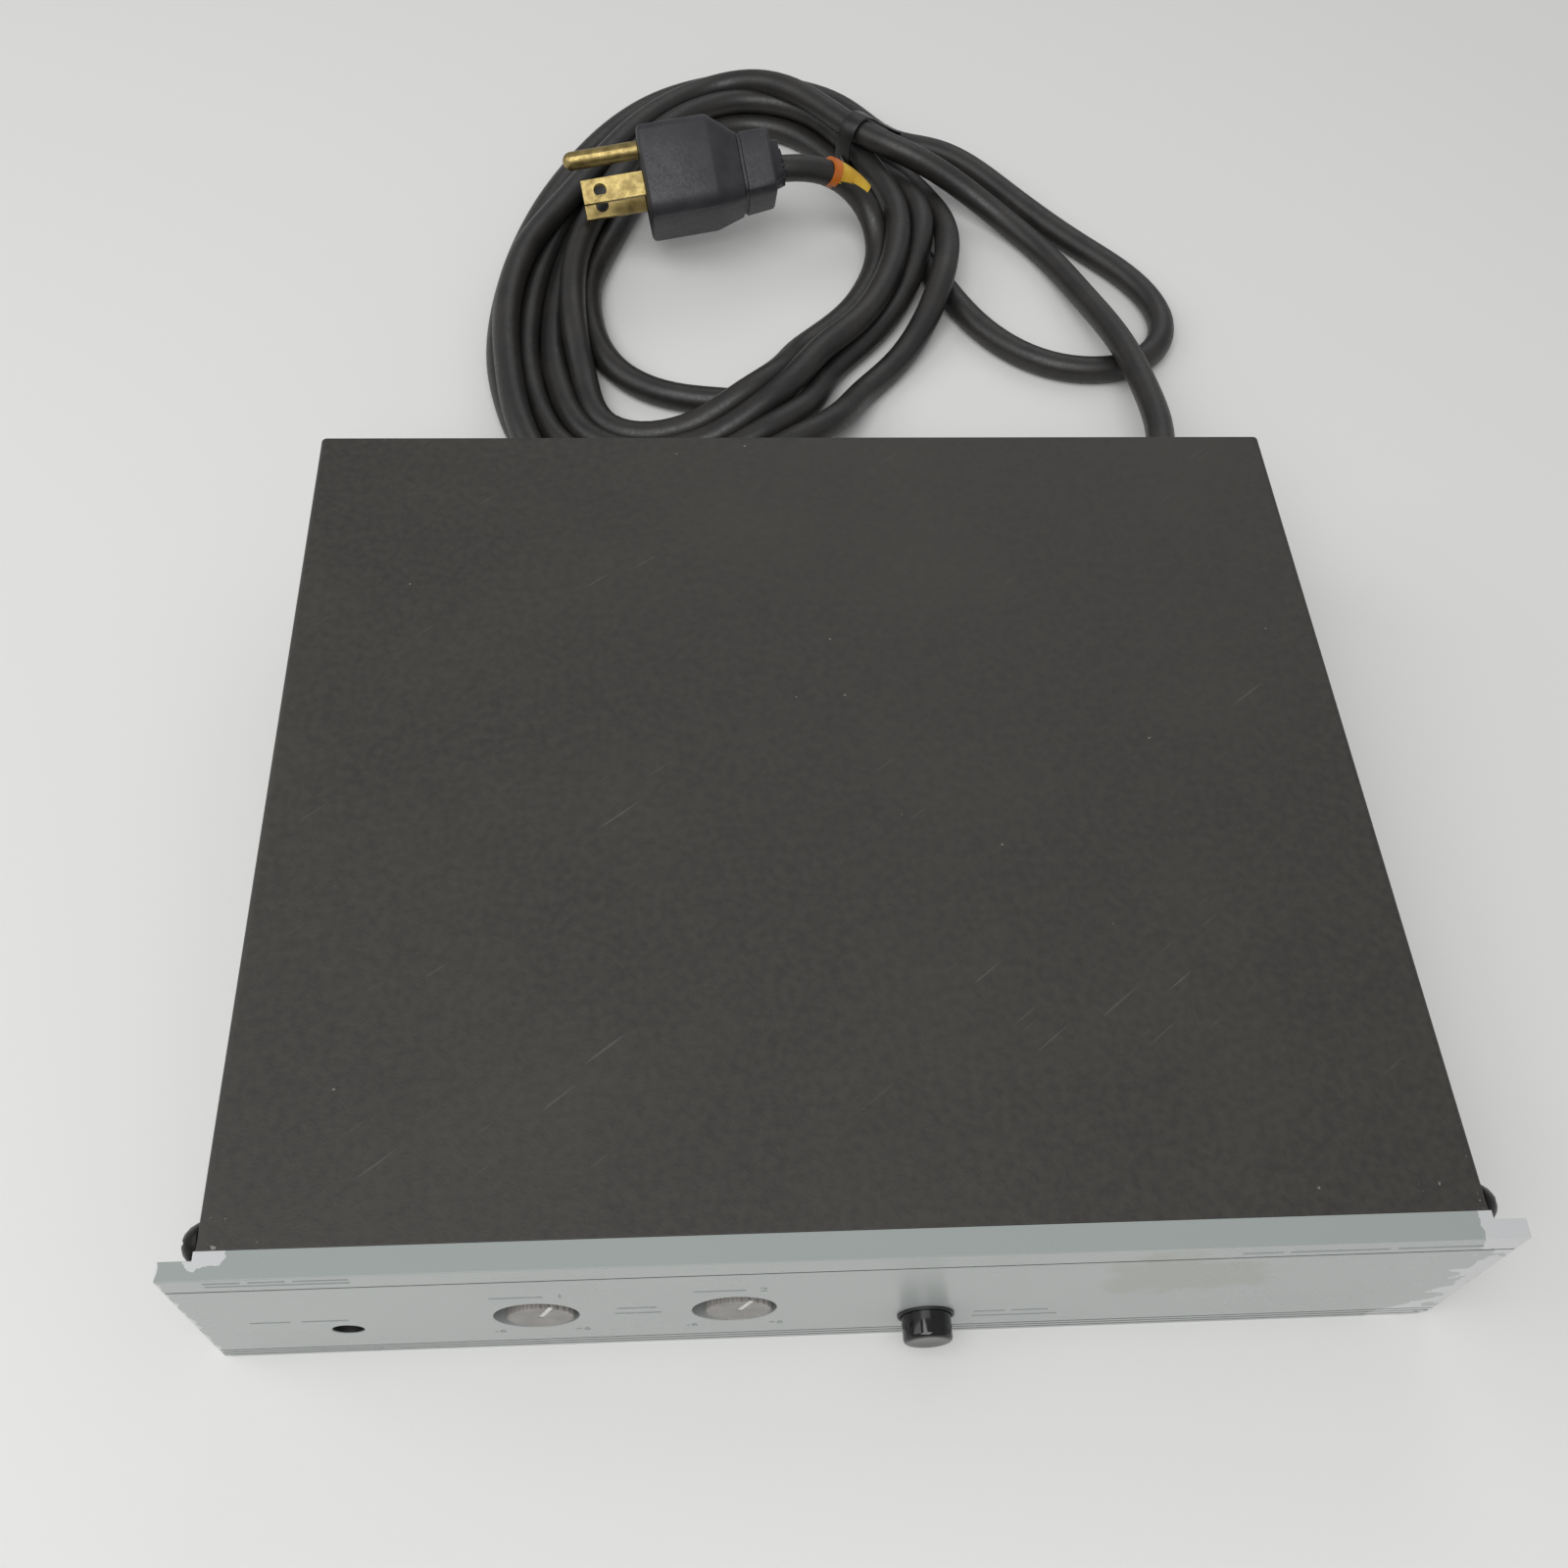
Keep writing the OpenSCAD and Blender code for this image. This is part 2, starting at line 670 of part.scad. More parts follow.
module phono_insulators() {
    color("#b3302c") for (x = phono_x) difference() {
        rod_y([x, phono_z], rear_in_y - 8, phono_bore_r, 8 + pan_t + phono_proud - 0.6);
        rod_y([x, phono_z], rear_in_y - 4, 1.6, 40);
    }
}

// ---- mains cord and plug ----

// Moulded strain relief: a groove grips the rear panel and the sleeve tapers along the cord.
module cord_grip() {
    color(black_plastic) translate([cord_exit[0], rear_y, cord_exit[2]]) rotate([-90, 0, 0]) difference() {
        union() {
            translate([0, 0, -pan_t - 3]) cylinder(r = 7.5, h = 3);
            translate([0, 0, -pan_t - eps]) cylinder(r = 6, h = pan_t + 2 * eps);
            cylinder(r = 7.5, h = 3.5);
            cylinder(r1 = 5.6, r2 = 4.1, h = boot_len);
        }
        translate([0, 0, -10]) cylinder(r = cord_r, h = 10 + boot_len - 3);
    }
}

module cord_lead() { color(black_plastic) tube_along(lead_route, cord_r); }
module cord_side_loop() { color(black_plastic) tube_along(side_route, cord_r); }
module cord_plug_lead() { color(black_plastic) tube_along(plug_lead_route, cord_r); }

// Outline of the coil at its full width, or of its hole, as points beside the middle line.
function coil_side(side) = [for (i = [0 : len(coil_line) - 1])
    let (
        n = len(coil_line),
        p = coil_line[i],
        a = coil_line[(i + n - 1) % n],
        b = coil_line[(i + 1) % n],
        t = [b[0] - a[0], b[1] - a[1]],
        u = t / norm(t)
    )
    [p[0] + side * p[2] * u[1], p[1] - side * p[2] * u[0]]];

module cord_coil() {
    color(black_plastic) linear_extrude(coil_h) difference() {
        polygon(coil_side(1));
        polygon(coil_side(-1));
    }
}

// Strap that holds the turns together, with its loose tail.
module cord_tie() {
    wall = 1.2;
    w = tie_size[0];
    h = tie_size[1];
    color("#161616") translate([tie_at[0], tie_at[1], 0]) rotate([0, 0, tie_angle]) {
        translate([0, tie_size[2] / 2, h / 2]) rotate([90, 0, 0]) linear_extrude(tie_size[2]) difference() {
            round_rect(w, h, 5);
            round_rect(w - 2 * wall, h - 2 * wall, 4);
        }
        translate([w / 2 - wall / 2, -2, h / 2 - 3]) cube([8, 4, wall]);
    }
}

// Moulded plug: blades point along -X, the earth pin lies towards +Y.
module at_plug() { translate(plug_at) rotate(plug_turn) children(); }

module plug_body() {
    half_w = 13;
    far = 13.5;
    near = -11;
    cut = 4.5;
    shell_l = 18;
    waist_l = 25.5;
    color("#2c2c2e") at_plug() {
        rotate([0, 90, 0]) linear_extrude(shell_l)
            polygon([[-half_w, far], [half_w, far], [half_w, near + cut], [half_w - cut, near],
                [-half_w + cut, near], [-half_w, near + cut]]);
        hull() {
            rotate([0, 90, 0]) linear_extrude(shell_l)
                polygon([[-half_w + 1, far - 1], [half_w - 1, far - 1], [half_w - 1, near + cut],
                    [half_w - cut, near + 0.6], [-half_w + cut, near + 0.6], [-half_w + 1, near + cut]]);
            translate([waist_l - 1, -8, -9.5]) cube([1, 14, 19]);
        }
        translate([waist_l - eps, -9, -9]) cube([9, 15.5, 18]);
        translate([waist_l, 0, 0]) rotate([0, 90, 0]) cylinder(r = 5, h = plug_len - waist_l);
    }
}

blade = [16.8, 6.35, 1.5];
blade_apart = 12.7;
module plug_blades() {
    hole_x = 12;
    color(brass) at_plug() for (s = [-1, 1]) translate([0, 0, s * blade_apart / 2]) difference() {
        translate([-blade[0], -blade[1] / 2, -blade[2] / 2]) cube(blade);
        translate([-hole_x, 0, -2]) cylinder(r = 1.6, h = 4);
    }
}

module plug_earth_pin() {
    r = 2.4;
    len = 20.4;
    offset_y = 11.9;
    color(brass) at_plug() {
        translate([-len + r, offset_y - 0.8, 0]) rotate([0, 90, 0]) cylinder(r = r, h = len - r);
        translate([-len + r, offset_y - 0.8, 0]) sphere(r = r);
    }
}

// ---- nodes ----

front_panel();
panel_bracket_left();
panel_bracket_right();
bracket_screws();
top_cover();
chassis_pan();
rear_panel();
side_screw_left();
side_screw_right();
rear_cover_screws();
circuit_board();
standoffs();
board_screws();
trim_pot_1();
trim_pot_2();
pot_shaft_1();
pot_shaft_2();
trim_knob_1();
trim_knob_2();
indicator_lamp();
lamp_holder();
button_bezel();
button_cap();
switch_plunger();
push_switch();
transformer_core();
transformer_coil();
transformer_strap();
bridge_rectifier();
filter_capacitors();
voltage_regulators();
heat_sink();
fuse_clips();
mains_fuse();
op_amps();
signal_capacitors();
resistors();
input_socket_1();
input_socket_2();
input_insert_1();
input_insert_2();
input_latch_1();
input_latch_2();
output_socket_1();
output_socket_2();
output_inserts();
output_pins();
socket_screws();
phono_block();
phono_barrels();
phono_insulators();
cord_grip();
cord_lead();
cord_side_loop();
cord_coil();
cord_plug_lead();
cord_tie();
plug_body();
plug_blades();
plug_earth_pin();
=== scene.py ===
import math
import random

import bmesh
import bpy
from mathutils import Matrix, Vector


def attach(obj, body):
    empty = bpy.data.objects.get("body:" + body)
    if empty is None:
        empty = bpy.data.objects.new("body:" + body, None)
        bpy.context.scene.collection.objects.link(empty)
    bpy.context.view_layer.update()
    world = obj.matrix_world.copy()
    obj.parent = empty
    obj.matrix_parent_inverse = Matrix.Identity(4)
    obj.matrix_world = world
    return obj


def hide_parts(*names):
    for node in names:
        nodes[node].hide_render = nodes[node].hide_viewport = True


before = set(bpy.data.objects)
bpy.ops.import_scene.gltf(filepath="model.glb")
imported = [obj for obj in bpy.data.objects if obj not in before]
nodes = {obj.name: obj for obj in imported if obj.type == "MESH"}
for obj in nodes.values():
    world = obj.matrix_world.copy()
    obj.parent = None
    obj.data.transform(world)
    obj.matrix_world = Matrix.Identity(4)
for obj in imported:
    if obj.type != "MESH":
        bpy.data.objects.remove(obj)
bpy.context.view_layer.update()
random.seed(7)

MM = 0.001


# ---- sizes, as part.scad has them, in millimetres ----

FRONT_Y = -92.0
LEDGE_Y = -87.3
REAR_Y = 87.8
PANEL_HALF = 107.95
PANEL_TOP = 44.45
CASE_HALF = 102.7
KNOBS = ((-51.5, 18.9), (-18.4, 18.9))
KNOB_FACE_Y = -92.3
POINTER = (0.86, 0.24, 5.0)
POINTER_MIDDLE = 2.85
POINTER_ANGLE = 21.0
BUTTON = (14.2, 12.0)
BUTTON_R = 4.3
BUTTON_PROUD = 4.9
LAMP = (-84.0, 14.4)
LAMP_HOLE_R = 2.69
SHADE_LINER_R = 2.54
SCREW_Y = FRONT_Y + 7
SCREW_Z = 40
CORD_D = 7.0
CORD_EXIT = (91.5, 109.8, 16.0)
CORD_STEP = 3.0
CORD_EASING = 7
BOOT_LEN = 22.0
BOOT_RIBS = 5
RIB_PITCH = 3.0
PLUG_AT = (-33.7, 204.0, 22.0)
PLUG_TURN = (35.0, -6.0, 8.0)
PLUG_LEN = 38.0


# ---- camera ----

camera = bpy.data.objects.new("camera", bpy.data.cameras.new("camera"))
bpy.context.scene.collection.objects.link(camera)
camera.location = (-0.02726, -0.16523, 0.28986)
camera.rotation_euler = [math.radians(a) for a in (33.56, -2.39, -2.60)]
camera.data.sensor_width = 36.0
camera.data.lens = 36.30
camera.data.shift_x = 0.0071
camera.data.clip_start = 0.01
bpy.context.scene.camera = camera


# ---- helpers ----

def linear(code):
    """A linear colour with alpha from an sRGB hex code."""
    parts = [int(code[i:i + 2], 16) / 255 for i in (1, 3, 5)]
    return tuple(c / 12.92 if c <= 0.04045 else ((c + 0.055) / 1.055) ** 2.4 for c in parts) + (1.0,)


def per(size_mm):
    """Texture scale of a pattern whose features are this many millimetres apart."""
    return 1000.0 / size_mm


def add_node(tree, kind, sockets=None, **settings):
    """Adds a node, sets its properties, and sets or links its input sockets."""
    node = tree.nodes.new(kind)
    for key, value in settings.items():
        setattr(node, key, value)
    for key, value in (sockets or {}).items():
        if isinstance(value, bpy.types.NodeSocket):
            tree.links.new(value, node.inputs[key])
        else:
            node.inputs[key].default_value = value
    return node


def new_material(name, **sockets):
    """An empty material with its shader and a socket that gives Object coordinates."""
    material = bpy.data.materials.new(name)
    material.use_nodes = True
    tree = material.node_tree
    shader = tree.nodes["Principled BSDF"]
    for key, value in sockets.items():
        shader.inputs[key.replace("_", " ")].default_value = value
    where = add_node(tree, "ShaderNodeTexCoord").outputs["Object"]
    return material, tree, shader, where


def finish_of(name, light, dark, patch=6.0, grain=0.6, bump=0.02, rough=(0.4, 0.5), **sockets):
    """A material in two close colours, in patches, with a fine grain in its gloss and its surface.
    patch and grain are in millimetres, and bump is the grain's height in millimetres."""
    material, tree, shader, where = new_material(name, **sockets)
    patches = add_node(tree, "ShaderNodeTexNoise", {"Vector": where, "Scale": per(patch), "Detail": 4.0})
    fine = add_node(tree, "ShaderNodeTexNoise", {"Vector": where, "Scale": per(grain), "Detail": 3.0})
    spread = add_node(tree, "ShaderNodeMapRange", {
        "Value": patches.outputs["Fac"], "From Min": 0.35, "From Max": 0.65})
    colour = add_node(tree, "ShaderNodeMix", {
        0: spread.outputs["Result"], 6: linear(dark), 7: linear(light)}, data_type="RGBA")
    gloss = add_node(tree, "ShaderNodeMapRange", {
        "Value": fine.outputs["Fac"], "From Min": 0.3, "From Max": 0.7,
        "To Min": rough[0], "To Max": rough[1]})
    relief = add_node(tree, "ShaderNodeBump", {
        "Height": fine.outputs["Fac"], "Strength": 1.0, "Distance": bump * MM})
    tree.links.new(colour.outputs[2], shader.inputs["Base Color"])
    tree.links.new(gloss.outputs["Result"], shader.inputs["Roughness"])
    tree.links.new(relief.outputs["Normal"], shader.inputs["Normal"])
    return material


def link_object(name, data):
    obj = bpy.data.objects.new(name, data)
    bpy.context.scene.collection.objects.link(obj)
    return obj


def place(obj, body, replaced=()):
    """Puts a piece on the body it rides on, and hides the nodes it stands for."""
    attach(obj, body)
    if replaced:
        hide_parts(*replaced)
    return obj


def shade(mesh, angle):
    """Smooth faces with sharp edges where they meet at more than the angle."""
    for face in mesh.polygons:
        face.use_smooth = True
    mesh.set_sharp_from_angle(angle=math.radians(angle))


def piece(name, bm, material, body, replaced=(), angle=35.0):
    """Turns a bmesh in millimetres into a finished piece."""
    bmesh.ops.recalc_face_normals(bm, faces=bm.faces)
    bmesh.ops.scale(bm, vec=(MM, MM, MM), verts=bm.verts)
    mesh = bpy.data.meshes.new(name)
    bm.to_mesh(mesh)
    bm.free()
    mesh.materials.append(material)
    shade(mesh, angle)
    return place(link_object(name, mesh), body, replaced)


def softened(name, node, material, body, edge):
    """A copy of a CAD node with its edges rounded off by so many millimetres."""
    bm = bmesh.new()
    bm.from_mesh(nodes[node].data)
    bmesh.ops.scale(bm, vec=(1 / MM, 1 / MM, 1 / MM), verts=bm.verts)
    bmesh.ops.remove_doubles(bm, verts=bm.verts, dist=0.004)
    bmesh.ops.dissolve_limit(bm, angle_limit=math.radians(0.6), verts=bm.verts, edges=bm.edges)
    obj = piece(name, bm, material, body, (node,))
    bevel = obj.modifiers.new("edges", "BEVEL")
    bevel.width = edge * MM
    bevel.segments = 2
    bevel.limit_method = "ANGLE"
    bevel.angle_limit = math.radians(32)
    bevel.use_clamp_overlap = False
    bevel.harden_normals = True
    return obj


def turned(profile, at, steps=64, axis="Y"):
    """A bmesh turned from (radius, distance) pairs along an axis through a point, in millimetres."""
    bm = bmesh.new()
    rim = [bm.verts.new((r, y, 0.0)) for r, y in profile]
    edges = [bm.edges.new(pair) for pair in zip(rim, rim[1:])]
    bmesh.ops.spin(bm, geom=rim + edges, cent=(0, 0, 0), axis=(0, 1, 0), angle=math.tau,
                   steps=steps, use_merge=True)
    bmesh.ops.remove_doubles(bm, verts=bm.verts, dist=0.0005)
    if axis == "X":
        bmesh.ops.rotate(bm, verts=bm.verts, matrix=Matrix.Rotation(math.radians(-90), 3, "Z"))
    bmesh.ops.translate(bm, verts=bm.verts, vec=Vector(at))
    return bm


def block(size, at, edge=0.0):
    """A bmesh box of a size round a middle point, with every edge rounded."""
    bm = bmesh.new()
    bmesh.ops.create_cube(bm, size=1.0)
    bmesh.ops.scale(bm, vec=size, verts=bm.verts)
    if edge:
        bmesh.ops.bevel(bm, geom=bm.edges[:], offset=edge, segments=2, profile=0.5,
                        affect="EDGES", material=-1)
    bmesh.ops.translate(bm, verts=bm.verts, vec=Vector(at))
    return bm


def spun(bm, degrees, axis):
    """Turns a bmesh about the origin."""
    bmesh.ops.rotate(bm, verts=bm.verts, cent=(0, 0, 0),
                     matrix=Matrix.Rotation(math.radians(degrees), 3, axis))


def joined(parts):
    """One bmesh out of several."""
    whole = bmesh.new()
    for bm in parts:
        mesh = bpy.data.meshes.new("part")
        bm.to_mesh(mesh)
        bm.free()
        whole.from_mesh(mesh)
        bpy.data.meshes.remove(mesh)
    return whole


def curve_mesh(curve):
    """The mesh that a curve or a text makes, as a bmesh in millimetres. The curve itself is removed."""
    obj = link_object("shape", curve)
    bpy.context.view_layer.update()
    mesh = bpy.data.meshes.new_from_object(obj.evaluated_get(bpy.context.evaluated_depsgraph_get()))
    bm = bmesh.new()
    bm.from_mesh(mesh)
    bpy.data.objects.remove(obj)
    bpy.data.meshes.remove(mesh)
    return bm


def smooth_path(points, step, rounds):
    """Points a fixed step apart along a smooth curve through a route, with its kinks eased. Millimetres."""
    route = [Vector(p) for p in points]
    dense = []
    for k in range(len(route) - 1):
        b, c = route[k], route[k + 1]
        a = route[k - 1] if k else b * 2 - c
        d = route[k + 2] if k + 2 < len(route) else c * 2 - b
        for j in range(12):
            f = j / 12
            dense.append(0.5 * (2 * b + (c - a) * f + (2 * a - 5 * b + 4 * c - d) * f * f
                                + (3 * b - a - 3 * c + d) * f * f * f))
    dense.append(route[-1])
    even = [dense[0]]
    left = step
    for a, b in zip(dense, dense[1:]):
        span = (b - a).length
        while span >= left > 0:
            a = a + (b - a) * (left / span)
            span = (b - a).length
            even.append(a.copy())
            left = step
        left -= span
    even.append(dense[-1])
    for _ in range(rounds):
        even = [even[0], even[1]] + [
            even[i] * 0.5 + (even[i - 1] + even[i + 1]) * 0.25 for i in range(2, len(even) - 2)
        ] + [even[-2], even[-1]]
    return even


def line_curve(name, points, radius, resolution):
    """A round curve through points, in metres where radius is in metres."""
    curve = bpy.data.curves.new(name, "CURVE")
    curve.dimensions = "3D"
    curve.bevel_depth = radius
    curve.bevel_resolution = resolution
    curve.use_fill_caps = True
    spline = curve.splines.new("POLY")
    spline.points.add(len(points) - 1)
    for i, p in enumerate(points):
        spline.points[i].co = (*p, 1.0)
        spline.points[i].radius = 1.0
    return curve


# ---- mains cord ----

# The route from the strain relief to the turns, where they are bound.
LEAD = [
    (91.5, 103, 16), CORD_EXIT, (93.6, 118, 15.3), (94.2, 128, 13.9), (93.6, 140, 12.4), (91.8, 154, 11.2),
    (88.8, 168, 9), (85.2, 182, 6.2), (80, 198, 4.2), (73, 210, 4), (64, 219.5, 6),
    (53, 226, 11), (43.5, 229, 15.3), (34.5, 232.5, 17.3),
]
# Over the turns, round their outside, back inside them and up to the strap again.
OVER = [
    (26, 240.5, 16.7), (17.5, 251.5, 16.4), (8.5, 262, 15.6), (-0.5, 268.5, 13.6), (-9, 271, 11),
    (-17.5, 268.5, 9.8), (-27.5, 261.5, 9.8),
    (-38.5, 248.5, 9.8), (-48, 232, 9.8), (-57, 215, 9.8), (-67, 194, 10.2), (-70.5, 170, 10.3),
    (-69, 149, 10.3), (-66, 131, 10), (-60, 116, 8), (-51, 106, 5.5), (-38, 100.8, 3.8), (-22, 99.5, 3.6),
    (-8, 101, 3.6), (3, 107, 3.6), (9.5, 116, 3.6), (10, 127, 3.6), (4.5, 137, 3.6), (-5, 142, 3.6),
    (-15, 143, 3.6), (-23, 143.8, 3.6), (-31.5, 146, 3.6), (-39.5, 151.5, 3.6), (-45, 159, 3.6),
    (-48, 168, 3.6), (-49.5, 178, 3.6), (-49.5, 190, 3.6), (-45.5, 203, 3.6), (-41, 216, 3.6),
    (-37, 228, 3.6), (-31, 241.5, 3.6), (-23, 252.5, 3.6), (-13.5, 259, 3.6), (-4.8, 261.8, 3.6),
    (5.5, 260, 3.6), (15, 253, 3.6), (24, 240, 3.6), (30.5, 228, 3.6), (35.5, 218, 3.6), (39.5, 209, 3.6),
]
# The loop that lies to the right of the coil.
SIDE = [
    (43, 200, 3.6), (48, 188, 3.6), (54.5, 174, 3.6), (63, 163.2, 3.6), (74, 156.2, 3.6), (86, 154.5, 3.6),
    (96, 156.6, 3.6), (104, 163.5, 3.6), (107.2, 174, 3.6), (104.6, 185, 3.6), (98, 195.8, 3.6),
    (89.5, 205, 3.6), (80.5, 215.5, 3.8), (70.5, 228, 4.4), (60.5, 239, 6), (50, 247.5, 6),
]
# The four turns: a place on the coil, the outward heading there in degrees, then how far out
# each turn lies and its height. The last turn leaves early, for the plug.
TURNS = [
    (29.5, 243, 45, (13.3, 6.7, 0, -3.4), (4, 3.6, 3.6, 9.8)),
    (18, 260.5, 60, (13.3, 6.7, 0, -3.3), (3.6, 3.6, 3.6, 9.4)),
    (7, 266.5, 78, (13.3, 6.7, 0, -3.3), (3.6, 3.6, 3.6, 9.4)),
    (-5, 268.5, 92, (13.3, 6.7, 0, -3.3), (3.6, 3.6, 3.6, 9.4)),
    (-15, 265.5, 105, (13.3, 6.7, 0, -3.3), (3.6, 3.6, 3.6, 9.4)),
    (-26, 258.5, 119, (13.3, 6.7, 0, -3.3), (3.6, 3.6, 3.6, 9.4)),
    (-36, 246, 135, (13.3, 6.7, 0, -3.3), (3.6, 3.6, 3.6, 9.4)),
    (-44, 231, 148, (13.3, 6.7, 0, -3.3), (3.6, 3.6, 3.6, 9.4)),
    (-51, 214, 158, (13.3, 6.7, 0, -3.5), (3.6, 3.6, 3.6, 9.4)),
    (-56.5, 192.5, 169, (13.4, 6.8, 0, -3.5), (3.6, 3.6, 3.6, 9.4)),
    (-58.6, 169, 178, (14, 7, 0, -5.5), (3.6, 3.6, 3.6, 9)),
    (-57, 150, 190, (14, 7, 0, -7), (3.6, 3.6, 3.6, 4)),
    (-50.5, 131.5, 212, (14, 7, 0, -5.5), (3.6, 3.6, 3.6, 3.6)),
    (-38, 124.5, 243, (14, 7, 0, -6), (3.6, 3.6, 3.6, 3.6)),
    (-20, 125.5, 274, (14, 7, 0, -7), (5.5, 5.5, 5.5, 5.5)),
    (-6, 132.5, 296, (14, 7, 0, -7), (10.6, 10.6, 10.6, 10.6)),
    (5.5, 139.5, 310, (13, 3.5, -2.5, -8.5), (10, 8.5, 13, 10.4)),
    (13, 153.5, 316, (12, 0.5, -2.5, -10.3), (4, 3.6, 10.4, 4.4)),
    (23, 164, 320, (11.5, 0, -2, -10), (3.6, 3.6, 10.4, 3.6)),
    (31.5, 175.5, 332, (10.5, 0, -3.5, -9.5), (6, 3.6, 9.8, 3.6)),
    (38.5, 189, 348, (9, 0, -5, -10.5), (10.5, 5.5, 11, 3.6)),
    (43.3, 207, 6, (6.9, 0, -6.9), (8, 10.6, 12)),
    (39.8, 225, 25, (6.8, 0, -6.5), (4, 8.2, 11)),
]

plug_turn = (Matrix.Rotation(math.radians(PLUG_TURN[2]), 4, "Z")
             @ Matrix.Rotation(math.radians(PLUG_TURN[1]), 4, "Y")
             @ Matrix.Rotation(math.radians(PLUG_TURN[0]), 4, "X"))
plug_place = Matrix.Translation(PLUG_AT) @ plug_turn
# The end of the cord rises off the floor into the neck of the plug.
PLUG_LEAD = [
    (28.4, 191, 3.6), (31.2, 200.5, 5), (30.6, 208, 8.6), (26.8, 213, 13.6), (21.5, 214, 18.6),
    (15.6, 212.6, 22.8), (9.6, 210.6, 25.4), tuple(plug_place @ Vector((PLUG_LEN, 0, 0))),
    tuple(plug_place @ Vector((PLUG_LEN - 6, 0, 0))),
]


def coil_turns():
    """The points of the turns, one turn after another."""
    points = []
    for turn in range(4):
        for x, y, heading, out, height in TURNS:
            if turn < len(out):
                angle = math.radians(heading)
                points.append((x + out[turn] * math.cos(angle), y + out[turn] * math.sin(angle),
                               height[turn]))
    return points


cord_path = smooth_path(LEAD + OVER + SIDE + coil_turns() + PLUG_LEAD, CORD_STEP, CORD_EASING)

# Extruded PVC sheath: satin and nearly black, a little greyer where dust lies in its pores.
cord_sheath = finish_of("extruded_pvc_cord_sheath", "#292725", "#1d1c1b", patch=9.0, grain=0.9, bump=0.025,
                        rough=(0.36, 0.52), IOR=1.52)
cord = link_object("mains_cord", line_curve("mains_cord", [p * MM for p in cord_path],
                                            CORD_D / 2 * MM, resolution=6))
cord.data.materials.append(cord_sheath)
place(cord, "case", ("cord_lead", "cord_side_loop", "cord_coil", "cord_plug_lead"))


# ---- materials ----

